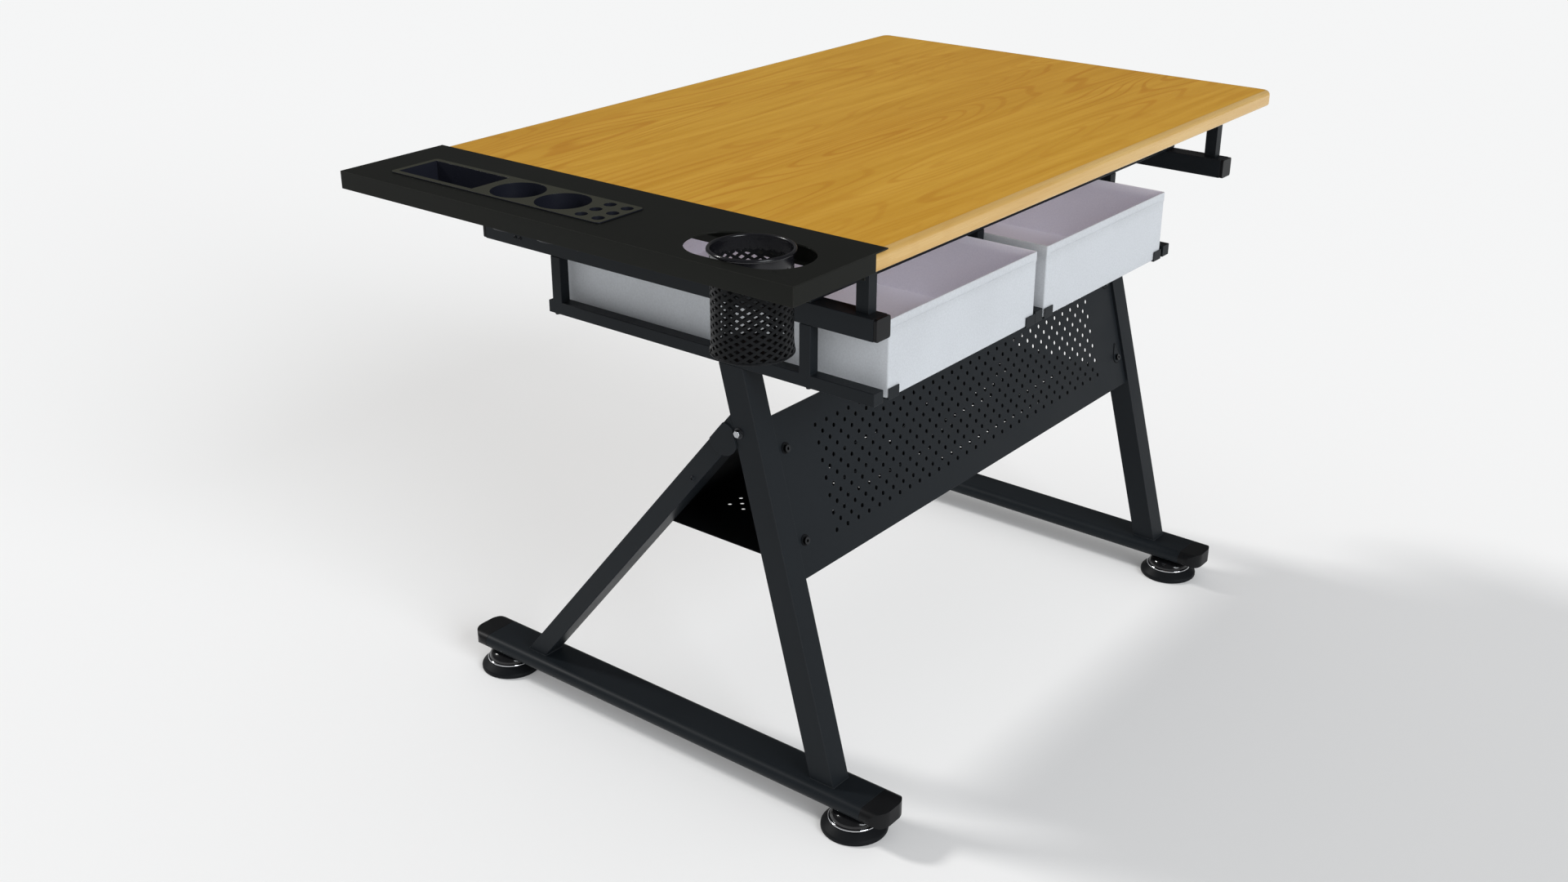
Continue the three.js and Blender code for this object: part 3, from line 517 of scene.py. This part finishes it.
def lattice(mesh):
    """Flat staggered lattice of holes centred on the origin. Returns its border edges."""
    corners = {}

    def corner(i, j):
        """Lattice points every half cell, shared by neighbouring cells."""
        if (i, j) not in corners:
            corners[i, j] = mesh.verts.new((i * PITCH_X / 4, j * PITCH_Y / 2, 0))
        return corners[i, j]

    around = ((1, 0), (1, 1), (0, 1), (-1, 1), (-1, 0), (-1, -1), (0, -1), (1, -1))
    half_rows = (ROWS - 1) // 2
    last = HOLES_IN_ROW - 1
    for row in range(-half_rows, half_rows + 1):
        for column in range(-last, last + 1):
            border = [corner(2 * column + di, 2 * row + dj) for di, dj in around]
            if (row + half_rows + column + last) % 2:
                mesh.faces.new(border)
                continue
            ring = circle(mesh, column * PITCH_X / 2, row * PITCH_Y, HOLE, 16)
            for k in range(8):
                n = (k + 1) % 8
                inner = [ring[(2 * k + d) % 16] for d in (2, 1, 0)]
                mesh.faces.new([border[k], border[n], *inner])
    hole_verts = set(mesh.verts) - set(corners.values())
    return [e for e in mesh.edges if len(e.link_faces) == 1 and hole_verts.isdisjoint(e.verts)]


def loop(mesh, points):
    verts = [mesh.verts.new((x, y, 0)) for x, y in points]
    return [mesh.edges.new(pair) for pair in closed(verts)]


def perforated(outline, bolt_holes, thick):
    """A perforated sheet in the XY plane, its upper face at z = 0."""
    mesh = bmesh.new()
    edges = lattice(mesh)
    edges += loop(mesh, outline)
    for x, y in bolt_holes:
        ring = circle(mesh, x, y, BOLT_HOLE, 20)
        edges += [mesh.edges.new(pair) for pair in closed(ring)]
    bmesh.ops.triangle_fill(mesh, use_beauty=True, use_dissolve=False, edges=edges, normal=(0, 0, 1))
    bmesh.ops.recalc_face_normals(mesh, faces=mesh.faces)
    thicken(mesh, list(mesh.faces), (0, 0, -thick))
    return mesh


def outline_rect(x0, x1, y0, y1, radius, rounded_top=False):
    points = []
    corners = [((x0, y0), 180), ((x1, y0), 270), ((x1, y1), 0), ((x0, y1), 90)]
    for (x, y), start in corners:
        if y == y1 and not rounded_top:
            points.append((x, y))
            continue
        cx = x + radius * (1 if x == x0 else -1)
        cy = y + radius * (1 if y == y0 else -1)
        points += arc((cx, cy), radius, start, start + 90, 8)
    return points


def front_panel():
    """The leaning front panel, in the plane just behind the front faces of the legs."""
    low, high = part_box("front_panel")
    lean = math.atan(PANEL_LEAN)
    middle = (low + high) / 2
    bolt_side, bolt_rise = PANEL_BOLT
    half_width, half_height = (high.x - low.x) / 2, PANEL_HEIGHT / 2
    holes = [(sx * (half_width - bolt_side), sy * bolt_rise) for sx in (-1, 1) for sy in (-1, 1)]
    outline = outline_rect(-half_width, half_width, -half_height, half_height, PANEL_CORNER)
    mesh = perforated(outline, holes, SHEET)
    turned = Matrix((
        (1, 0, 0, middle.x),
        (0, math.sin(lean), -math.cos(lean), middle.y),
        (0, math.cos(lean), math.sin(lean), middle.z),
        (0, 0, 0, 1),
    ))
    mesh.transform(turned @ Matrix.Translation((0, 0, SHEET / 2)))
    panel = piece("perforated_front_panel", mesh, "frame", "black_steel", STEEL)
    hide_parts("front_panel")


def plate(name, corners, direction, thick):
    """A plain sheet: a flat outline thickened along a direction."""
    mesh = bmesh.new()
    face = mesh.faces.new([mesh.verts.new(corner) for corner in corners])
    thicken(mesh, [face], Vector(direction).normalized() * thick)
    # In the darker shaded copy of the black steel: painted shade.
    return rounded(piece(name, mesh, "frame", "black_steel", SHADED_STEEL), 0.4 * MM)


def rear_leg_y(z, inside):
    """How far back the rear leg is at a height, and at a distance inside its front face."""
    return REAR_LEG_AT_FLOOR - REAR_LEAN * z + inside


def shelf():
    """A flat perforated sheet, bent up into a plain back that leans along the rear legs."""
    low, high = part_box("shelf_panel")
    past_middle, lattice_y = LATTICE_MIDDLE
    lattice_at = Vector(((low.x + high.x) / 2 + past_middle, lattice_y, SHELF_TOP))
    x0 = low.x - lattice_at.x
    y1 = rear_leg_y(SHELF_TOP, SHELF_IN_LEG) - lattice_at.y
    outline = outline_rect(x0, x0 + high.x - low.x, low.y - lattice_at.y, y1, 2 * MM, True)
    mesh = perforated(outline, [], SHEET)
    mesh.transform(Matrix.Translation(lattice_at))
    # The shelf is in the darker shaded steel: painted shade from the drawers above.
    sheet = piece("perforated_shelf", mesh, "frame", "black_steel", SHADED_STEEL)
    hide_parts("shelf_panel")
    bottom = SHELF_TOP - SHEET
    left, right = low.x + 0.5 * MM, high.x - 0.5 * MM
    back = [
        (x, rear_leg_y(z, SHELF_IN_LEG), z)
        for x, z in ((left, bottom), (right, bottom), (right, high.z), (left, high.z))
    ]
    plate("shelf_back", back, (0, 1, REAR_LEAN), SHEET)
    y0 = low.y + SHEET
    y1 = low.y + SHELF_EAR
    tab_low, tab_high = TAB_HEIGHTS
    for end, x in (("left", low.x + SHEET), ("right", high.x - 2 * SHEET)):
        ear = [(x, y0, low.z), (x, y1, low.z), (x, y1, bottom), (x, y0, bottom)]
        plate(f"shelf_ear_{end}", ear, (1, 0, 0), SHEET)
        tab = [
            (x, rear_leg_y(z, depth), z)
            for depth, z in (
                (TAB_IN_LEG, tab_low),
                (SHELF_IN_LEG, tab_low),
                (SHELF_IN_LEG, tab_high),
                (TAB_IN_LEG, tab_high),
            )
        ]
        plate(f"shelf_tab_{end}", tab, (1, 0, 0), SHEET)


front_panel()
shelf()


# ---------------------------------------------------------------- mesh cup
STRANDS = 20
STRAND_WIDTH = 3.0 * MM
STRAND_THICK = 1.5 * MM
CUP_WALL = 40.6 * MM  # radius of the mesh
CUP_FLARE = (1.2 * MM, 16 * MM)  # how much wider the wall gets at its foot, and from what height


def cup_radius(z, low):
    """Radius of the mesh wall at a height: straight, and flared towards the foot ring."""
    wider, height = CUP_FLARE
    rise = min(1.0, (z - low) / height)
    return CUP_WALL + wider * (1 - rise) ** 2


def strand(mesh, path):
    """A flat strand along a path of (centre, outward, across) vectors."""
    rows = []
    for centre, outward, across in path:
        o, a = outward * STRAND_THICK / 2, across * STRAND_WIDTH / 2
        rows.append([mesh.verts.new(centre + d) for d in (o - a, o + a, -o + a, -o - a)])
    for low, high in zip(rows, rows[1:]):
        for k in range(4):
            n = (k + 1) % 4
            mesh.faces.new((low[k], low[n], high[n], high[k]))
    mesh.faces.new(rows[0])
    mesh.faces.new(rows[-1])


def wall_strands(mesh, centre, low, high):
    """Two families of crossing helical strands."""
    cell_height = 8.0 * MM
    cell_turn = 2 * math.pi / STRANDS
    steps = 44
    for direction in (-1, 1):
        for index in range(STRANDS):
            path = []
            for k in range(steps + 1):
                z = low + (high - low) * k / steps
                angle = cell_turn * (index + direction * (z - low) / cell_height)
                radius = cup_radius(z, low) + direction * 0.12 * MM
                out = Vector((math.cos(angle), math.sin(angle), 0))
                around = Vector((-out.y, out.x, 0))
                slope = direction * cell_turn * radius / cell_height
                along = (around * slope + Vector((0, 0, 1))).normalized()
                path.append((centre + out * radius + Vector((0, 0, z)), out, along.cross(out)))
            strand(mesh, path)


def floor_strands(mesh, centre, z, radius):
    """The flat mesh floor of the cup: two families of straight strands."""
    spacing = 5.6 * MM
    lift = 0.15 * MM
    for direction in (-1, 1):
        angle = direction * math.radians(32)
        along = Vector((math.cos(angle), math.sin(angle), 0))
        across = Vector((-along.y, along.x, 0))
        count = int(radius / spacing)
        for index in range(-count, count + 1):
            offset = index * spacing
            reach = math.sqrt(max(0.0, radius**2 - offset**2))
            if reach < 3 * MM:
                continue
            start = centre + across * offset + Vector((0, 0, z + direction * lift))
            path = [(start + along * s * reach, Vector((0, 0, 1)), across) for s in (-1, 1)]
            strand(mesh, path)


def mesh_cup():
    low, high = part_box("mesh_cup")
    centre = Vector(((low.x + high.x) / 2, (low.y + high.y) / 2, 0))
    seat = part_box("side_tray")[1].z + 0.3 * MM
    collar = seat - 13 * MM
    outer = (high.x - low.x) / 2
    wires = bmesh.new()
    wall_strands(wires, centre, low.z + 1.2 * MM, collar + 1 * MM)
    floor_strands(wires, centre, low.z + 1.6 * MM, cup_radius(low.z, low.z) + 0.3 * MM)
    net = smooth(piece("cup_mesh", wires, "cup", "black_steel", CUP_STEEL), 50)
    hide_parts("mesh_cup")
    body = 41.4 * MM
    sheet = 1.0 * MM
    bead = 2.1 * MM
    centre_line = (outer - bead, seat + 1.6 * MM)
    shell = bmesh.new()
    profile = [(body - sheet, collar), (body, collar), (body, seat - 1 * MM)]
    profile += arc(centre_line, bead, -70, 200, 22)
    profile += [(body - sheet, seat - 1 * MM), (body - sheet, collar)]
    turn(shell, profile, centre)
    bmesh.ops.remove_doubles(shell, verts=shell.verts, dist=1e-6)
    smooth(piece("cup_rim", shell, "cup", "black_steel", RIM_COAT), 45)
    ring = bmesh.new()
    foot = cup_radius(low.z, low.z)
    turn(ring, arc((foot, low.z + 1.3 * MM), 1.3 * MM, 0, 360, 12), centre)
    bmesh.ops.remove_doubles(ring, verts=ring.verts, dist=1e-6)
    smooth(piece("cup_foot_ring", ring, "cup", "black_steel", CUP_STEEL), 60)


mesh_cup()


# ---------------------------------------------------------------- levelling feet
PAD_EDGE = 40.5 * MM
DOME_FOOT = (28.2 * MM, 12.9 * MM)  # radius and height where the dome stands in the pad
DOME_START = 17 * MM
STUD = 5 * MM
TRIM = (15.05 * MM, 1.55 * MM)  # height and bar radius of the chrome ring
CAD_TRIM_BAR = 1.6 * MM


def levelling_foot(side, end):
    low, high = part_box(f"foot_{side}_{end}")
    centre = ((low.x + high.x) / 2, (low.y + high.y) / 2)
    body = f"foot_body_{side}_{end}"
    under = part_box(f"base_tube_{side}")[0].z - 0.3 * MM
    edge = PAD_EDGE
    pad = bmesh.new()
    profile = [(0, 0), (edge - 2 * MM, 0)]
    profile += arc((edge - 2 * MM, 2 * MM), 2 * MM, -90, 0, 5)
    profile += arc((edge - 4 * MM, 4 * MM), 4 * MM, 5, 48, 6)
    profile += [(31.6 * MM, 13.2 * MM)]
    profile += arc((30.8 * MM, 12.4 * MM), 0.9 * MM, 60, 110, 3)
    profile += [(28 * MM, 12.6 * MM), (0, 12.6 * MM)]
    turn(pad, profile, centre)
    smooth(piece(f"foot_pad_{side}_{end}", pad, body, "foot_rubber", RUBBER), 40)
    dome = bmesh.new()
    dome_radius, dome_bottom = DOME_FOOT
    profile = [(0, dome_bottom), (dome_radius, dome_bottom), (dome_radius, 16.8 * MM)]
    steps = 18
    for k in range(steps + 1):
        t = math.pi / 2 * k / steps
        height = DOME_START + (under - DOME_START) * math.sin(t)
        profile.append((8 * MM + 21.6 * MM * math.cos(t), height))
    profile += [(STUD, under), (STUD, high.z), (0, high.z)]
    turn(dome, profile, centre)
    cap = smooth(piece(f"foot_dome_{side}_{end}", dome, body, "foot_rubber", GLOSS), 40)
    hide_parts(f"foot_{side}_{end}")
    ring_low, ring_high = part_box(f"foot_ring_{side}_{end}")
    radius = (ring_high.x - ring_low.x) / 2 - CAD_TRIM_BAR
    trim_height, trim_bar = TRIM
    ring = bmesh.new()
    turn(ring, arc((radius, trim_height), trim_bar, 0, 360, 16), centre, 120)
    bmesh.ops.remove_doubles(ring, verts=ring.verts, dist=1e-6)
    trim = smooth(piece(f"foot_trim_{side}_{end}", ring, body, "chrome", CHROME), 60)
    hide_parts(f"foot_ring_{side}_{end}")


for side in SIDES:
    for end in ENDS:
        levelling_foot(side, end)


# ---------------------------------------------------------------- fabric drawers
def rounded_rect(x0, x1, y0, y1, radius, steps=5):
    points = []
    for (x, y), start in (
        ((x1 - radius, y0 + radius), -90),
        ((x1 - radius, y1 - radius), 0),
        ((x0 + radius, y1 - radius), 90),
        ((x0 + radius, y0 + radius), 180),
    ):
        points += arc((x, y), radius, start, start + 90, steps)
    return points


def split_long(points, longest):
    """Adds points so that no side of a closed outline is longer than the given length."""
    made = []
    for a, b in closed(points):
        length = math.dist(a, b)
        count = max(1, math.ceil(length / longest))
        for k in range(count):
            made.append((a[0] + (b[0] - a[0]) * k / count, a[1] + (b[1] - a[1]) * k / count))
    return made


def fabric_box(side):
    """Stiffened fabric box: an outer skin, a turned-over hem and a lining."""
    low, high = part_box(f"drawer_{side}")
    body = f"{side}_drawer"
    wall = 2.2 * MM
    hem = 12 * MM
    outline = split_long(rounded_rect(low.x, high.x, low.y, high.y, 2.2 * MM), 12 * MM)
    inner = split_long(
        rounded_rect(low.x + wall, high.x - wall, low.y + wall, high.y - wall, 1.2 * MM), 12 * MM
    )
    mesh = bmesh.new()

    def layer(points, z, inset=0.0):
        cx, cy = (low.x + high.x) / 2, (low.y + high.y) / 2
        hx, hy = (high.x - low.x) / 2, (high.y - low.y) / 2
        verts = []
        for x, y in points:
            # the wall dishes in a little between its corners
            along = min(1.0, abs((x - cx) / hx)), min(1.0, abs((y - cy) / hy))
            belly = (1 - along[0] ** 4) if along[1] > 0.97 else (1 - along[1] ** 4)
            height = math.sin(math.pi * min(1.0, max(0.0, (z - low.z) / (high.z - low.z))))
            pull = inset + 0.5 * MM * belly * height
            verts.append(mesh.verts.new((x - pull * (x - cx) / hx, y - pull * (y - cy) / hy, z)))
        return verts

    def skin(rings, material):
        for a, b in zip(rings, rings[1:]):
            count = len(a)
            for k in range(count):
                n = (k + 1) % count
                face = mesh.faces.new((a[k], a[n], b[n], b[k]))
                face.material_index = material

    heights = [low.z, low.z + 1.2 * MM]
    heights += [low.z + (high.z - hem - low.z) * k / 6 for k in range(1, 7)]
    outer_rings = [layer(outline, heights[0], 1.0 * MM)]
    outer_rings += [layer(outline, z, 0.5 * MM) for z in heights[1:]]
    outer_rings += [layer(outline, high.z - hem + 0.4 * MM, 0.1 * MM)]
    outer_rings += [layer(outline, high.z - 1.2 * MM, 0.1 * MM)]
    outer_rings += [layer(outline, high.z - 0.35 * MM, 0.35 * MM)]
    outer_rings += [layer(outline, high.z, 0.95 * MM)]
    skin(outer_rings, 0)
    mesh.faces.new(outer_rings[0]).material_index = 0
    inner_rings = [layer(inner, high.z, -0.75 * MM)]
    inner_rings += [layer(inner, high.z - 0.35 * MM, -0.3 * MM)]
    inner_rings += [layer(inner, high.z - 1.2 * MM, 0.0)]
    inner_rings += [layer(inner, high.z - hem, 0.0)]
    inner_rings += [layer(inner, high.z - hem - 0.4 * MM, -0.4 * MM)]
    inner_rings += [layer(inner, low.z + wall + 3 * MM, -0.4 * MM)]
    inner_rings += [layer(inner, low.z + wall, 0.6 * MM)]
    skin(inner_rings, 1)
    mesh.faces.new(inner_rings[-1]).material_index = 1
    # close the rim between the outer skin and the lining
    rim = [
        e for e in mesh.edges
        if len(e.link_faces) == 1 and all(v.co.z > high.z - 1e-5 for v in e.verts)
    ]
    bmesh.ops.triangle_fill(mesh, use_beauty=True, use_dissolve=False, edges=rim, normal=(0, 0, 1))
    box = smooth(piece(f"fabric_drawer_{side}", mesh, body, "drawer_fabric", FABRIC, FABRIC_INSIDE), 50)
    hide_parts(f"drawer_{side}")
    stitches(side, body, low, high, hem)


def stitches(side, body, low, high, hem):
    """A row of stitches along the hem at the front and on both sides."""
    mesh = bmesh.new()
    length, gap, radius = 3.2 * MM, 1.2 * MM, 0.28 * MM

    def stitch(start, direction):
        end = start + direction * length
        matrix = Matrix.Translation((start + end) / 2) @ facing(direction)
        bmesh.ops.create_uvsphere(
            mesh, u_segments=6, v_segments=4, radius=1,
            matrix=matrix @ Matrix.Diagonal((radius, radius, length / 2, 1)),
        )

    z = high.z - hem + 2.2 * MM
    runs = (
        (Vector((low.x + 6 * MM, low.y + 0.02 * MM, z)), Vector((1, 0, 0)), high.x - low.x - 12 * MM),
        (Vector((low.x + 0.02 * MM, low.y + 6 * MM, z)), Vector((0, 1, 0)), high.y - low.y - 12 * MM),
        (Vector((high.x - 0.02 * MM, low.y + 6 * MM, z)), Vector((0, 1, 0)), high.y - low.y - 12 * MM),
    )
    for start, direction, reach in runs:
        for k in range(int(reach / (length + gap))):
            stitch(start + direction * k * (length + gap), direction)
    threads = piece(f"drawer_stitches_{side}", mesh, body, "drawer_fabric", FABRIC)
    smooth(threads, 60)


for side in SIDES:
    fabric_box(side)


# ---------------------------------------------------------------- small fasteners and welds
REAR_LEG_BOLT = (-57.5 * MM, 393.5 * MM)  # y and z
FRONT_POST_BOLT_Y = -221 * MM
LEG_WIDTH = 30.5 * MM
LEG_DEPTHS = (("front_leg", 33.9 * MM), ("rear_leg", 31.5 * MM))


def button(mesh, centre, normal, radius, height, sides=24):
    """A domed button head with a hexagonal recess, standing on a face."""
    profile = arc((radius - height * 0.7, 0), height * 0.7, 0, 60, 4)
    profile.append((radius * 0.62, height))
    profile.append((radius * 0.42, height))
    profile.append((radius * 0.40, height * 0.35))
    profile.append((0, height * 0.35))
    head = bmesh.new()
    turn(head, [(0, -0.02 * MM), (radius, -0.02 * MM)] + profile, (0, 0), sides)
    head.transform(Matrix.Translation(centre) @ facing(normal))
    data = bpy.data.meshes.new("head")
    head.to_mesh(data)
    head.free()
    mesh.from_mesh(data)
    bpy.data.meshes.remove(data)


def rail_rivets(side):
    """Two rivet heads near the back of each upper rail, on its outer face."""
    low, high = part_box(f"upper_rail_{side}")
    z = (low.z + high.z) / 2 - 1.6 * MM
    mesh = bmesh.new()
    for y in (high.y - 52 * MM, high.y - 60 * MM):
        button(mesh, (low.x, y, z), (-1, 0, 0), 2.6 * MM, 1.6 * MM)
    smooth(piece(f"rail_rivets_{side}", mesh, "frame", "bolt_steel", STEEL), 40)


def post_bolts(place):
    """Bolt heads under a lower drawer rail, one near its front post and one near its back end."""
    low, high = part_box(f"drawer_rail_{place}")
    mesh = bmesh.new()
    for y in (FRONT_POST_BOLT_Y, high.y - 7 * MM):
        button(mesh, (low.x + 7 * MM, y, low.z), (0, 0, -1), 4.2 * MM, 3.6 * MM)
    smooth(piece(f"post_bolts_{place}", mesh, "frame", "bolt_steel", STEEL), 40)


def bolt_seats():
    """Round washers under the left panel bolts, and keyhole plates under the right ones, each plate on a
    slightly larger dark rim. The washers and rims are in the darker shaded steel: painted gap shadow round
    the bolts and plates.
    """
    lean = math.atan(PANEL_LEAN)
    out = Vector((0, -math.cos(lean), math.sin(lean)))
    lift = Matrix.Rotation(math.pi / 2 - lean, 4, "X")
    panel_low, panel_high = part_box("front_panel")
    face = (panel_low + panel_high) / 2 + out * 0.75 * MM
    shadow_rims, plates = bmesh.new(), bmesh.new()
    for index in range(1, 5):
        low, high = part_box(f"panel_bolt_{index}")
        middle = (low + high) / 2
        middle += out * (face - middle).dot(out)
        at = Matrix.Translation(middle) @ lift
        if middle.x < face.x:
            slab(shadow_rims, at, arc((0, 0), 6.8 * MM, 0, 345, 23), 0, 0.7 * MM)
            continue
        for mesh, radius, tip, top in ((shadow_rims, 9.6, 20, 0.4), (plates, 8.2, 17, 0.9)):
            outline = arc((0, 0), radius * MM, -200, 20, 20)
            outline += [(1.4 * MM, tip * MM), (-1.4 * MM, tip * MM)]
            slab(mesh, at, outline, 0, top * MM)
    # Washers and rims in the darker shaded steel: painted gap shadow.
    smooth(piece("panel_bolt_shadow_rims", shadow_rims, "frame", "black_steel", SHADED_STEEL), 40)
    smooth(piece("panel_bolt_plates", plates, "frame", "black_steel", STEEL), 40)


def slab(mesh, at, outline, bottom, top):
    """A flat plate with a given outline, standing on a plane."""
    lower = [mesh.verts.new(at @ Vector((x, y, bottom))) for x, y in outline]
    upper = [mesh.verts.new(at @ Vector((x, y, top))) for x, y in outline]
    mesh.faces.new(lower)
    mesh.faces.new(upper)
    for a, b, c, d in zip(lower, lower[1:] + lower[:1], upper[1:] + upper[:1], upper):
        mesh.faces.new((a, b, c, d))


bolt_seats()


def rear_leg_bolt(side):
    low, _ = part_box(f"rear_leg_{side}")
    mesh = bmesh.new()
    button(mesh, (low.x, *REAR_LEG_BOLT), (-1, 0, 0), 3.6 * MM, 2.2 * MM)
    smooth(piece(f"rear_leg_bolt_{side}", mesh, "frame", "bolt_steel", STEEL), 40)


def knee_washer(side):
    """A dark washer under the head of the knee bolt."""
    low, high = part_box(f"knee_bolt_{side}")
    centre = ((low.y + high.y) / 2, (low.z + high.z) / 2)
    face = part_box(f"front_leg_{side}")[0].x
    washer = bmesh.new()
    radius, thick = 6.6 * MM, 0.9 * MM
    turn(washer, [(0, 0), (radius, 0), (radius, thick), (0, thick)], (0, 0), 48)
    washer.transform(Matrix.Translation((face, *centre)) @ facing((-1, 0, 0)))
    rounded(piece(f"knee_washer_{side}", washer, "frame", "bolt_steel", BOLT), 0.2 * MM)


def weld_bead(mesh, a, b, radius):
    """A rippled bead of weld along a line."""
    a, b = Vector(a), Vector(b)
    direction = (b - a).normalized()
    count = max(4, int((b - a).length / (1.6 * MM)))
    for k in range(count + 1):
        at = a.lerp(b, k / count)
        matrix = Matrix.Translation(at) @ facing(direction)
        bmesh.ops.create_icosphere(
            mesh, subdivisions=1, radius=radius, matrix=matrix @ Matrix.Diagonal((1, 1, 0.9, 1))
        )


def leg_welds(side):
    """Beads where the legs meet the base tube."""
    mesh = bmesh.new()
    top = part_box(f"base_tube_{side}")[1].z
    for leg, depth in LEG_DEPTHS:
        low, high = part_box(f"{leg}_{side}")
        x0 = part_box(f"rear_leg_{side}")[0].x
        x1 = x0 + LEG_WIDTH
        y0 = low.y if leg == "front_leg" else high.y - depth
        y1 = y0 + depth
        for a, b in (
            ((x0, y0), (x1, y0)),
            ((x1, y0), (x1, y1)),
            ((x1, y1), (x0, y1)),
            ((x0, y1), (x0, y0)),
        ):
            weld_bead(mesh, (*a, top + 0.2 * MM), (*b, top + 0.2 * MM), 1.2 * MM)
    smooth(piece(f"leg_welds_{side}", mesh, "frame", "black_steel", STEEL), 80)


def tray_screws():
    """Screws that hold the tray's flange to the underside of the top."""
    low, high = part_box("side_tray")
    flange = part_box("table_top")[0]
    mesh = bmesh.new()
    for share in (0.1, 0.5, 0.9):
        y = low.y + (high.y - low.y) * share
        button(mesh, (flange.x + 14 * MM, y, flange.z - 1.8 * MM), (0, 0, -1), 4 * MM, 2.4 * MM)
    smooth(piece("tray_screws", mesh, "top", "bolt_steel", BOLT), 40)


for side in SIDES:
    rail_rivets(side)
    rear_leg_bolt(side)
    knee_washer(side)
    leg_welds(side)
for place in ("left", "middle", "right"):
    post_bolts(place)
tray_screws()


# ---------------------------------------------------------------- stage
SEEN_WHITE = 0.95  # strength of the surroundings as the camera sees them
ROOM_LIGHT = 0.47  # their strength as light on matt surfaces
MIRRORED_WHITE = 0.13  # their strength in reflections
FLOOR_WHITE = 0.80
FLOOR_GLOW = 0.11
EYE = (-1.6819, -1.2494, 1.2375)
HEADING = 51.56  # degrees from +Y towards +X
DROP = 24.06  # degrees below the horizon
LENS = 39.0  # focal length for a 36 mm wide sensor


def stage_floor():
    mesh = bmesh.new()
    bmesh.ops.create_grid(mesh, x_segments=1, y_segments=1, size=40)
    data = bpy.data.meshes.new("studio_floor")
    mesh.to_mesh(data)
    mesh.free()
    s = Shader("studio_floor")
    s.set(Base_Color=(FLOOR_WHITE, FLOOR_WHITE, FLOOR_WHITE, 1), Roughness=0.9, Specular_IOR_Level=0.0)
    s.set(Emission_Color=(1, 1, 1, 1), Emission_Strength=FLOOR_GLOW)
    data.materials.append(s.material)
    floor = bpy.data.objects.new("studio_floor", data)
    bpy.context.scene.collection.objects.link(floor)


def soft_sun(name, towards, strength, spread, color=(1, 1, 1)):
    """Light from one direction over the whole studio, with shadows softened by its spread."""
    data = bpy.data.lights.new(name, "SUN")
    data.energy = strength
    data.angle = math.radians(spread)
    data.color = color
    light = bpy.data.objects.new(name, data)
    light.rotation_mode = "QUATERNION"
    light.rotation_quaternion = Vector(towards).to_track_quat("-Z", "Y")
    bpy.context.scene.collection.objects.link(light)


def white_surroundings():
    """A white room: bright to the camera, softer as light, dim in reflections."""
    world = bpy.data.worlds.new("studio")
    bpy.context.scene.world = world
    world.use_nodes = True
    nodes, links = world.node_tree.nodes, world.node_tree.links
    background = nodes["Background"]
    background.inputs["Color"].default_value = (1, 1, 1, 1)
    path = nodes.new("ShaderNodeLightPath")
    seen = nodes.new("ShaderNodeMath")
    seen.operation = "MULTIPLY_ADD"
    links.new(path.outputs["Is Camera Ray"], seen.inputs[0])
    seen.inputs[1].default_value = SEEN_WHITE - ROOM_LIGHT
    seen.inputs[2].default_value = ROOM_LIGHT
    mirrored = nodes.new("ShaderNodeMath")
    mirrored.operation = "MULTIPLY_ADD"
    links.new(path.outputs["Is Glossy Ray"], mirrored.inputs[0])
    mirrored.inputs[1].default_value = MIRRORED_WHITE - ROOM_LIGHT
    links.new(seen.outputs[0], mirrored.inputs[2])
    links.new(mirrored.outputs[0], background.inputs["Strength"])


def studio():
    stage_floor()
    white_surroundings()
    soft_sun("back_key", (0.24, -0.78, -0.64), 1.55, 9, (1.0, 0.99, 0.97))
    soft_sun("front_fill", (0.22, 0.88, -0.42), 1.85, 30, (0.93, 0.965, 1.0))


def camera():
    data = bpy.data.cameras.new("camera")
    data.sensor_width = 36
    data.lens = LENS
    data.clip_end = 200
    heading, drop = math.radians(HEADING), math.radians(DROP)
    forward = Vector((
        math.sin(heading) * math.cos(drop),
        math.cos(heading) * math.cos(drop),
        -math.sin(drop),
    ))
    obj = bpy.data.objects.new("camera", data)
    obj.location = EYE
    obj.rotation_mode = "QUATERNION"
    obj.rotation_quaternion = forward.to_track_quat("-Z", "Y")
    bpy.context.scene.collection.objects.link(obj)
    bpy.context.scene.camera = obj


studio()
camera()
bpy.context.scene.view_settings.view_transform = "Standard"
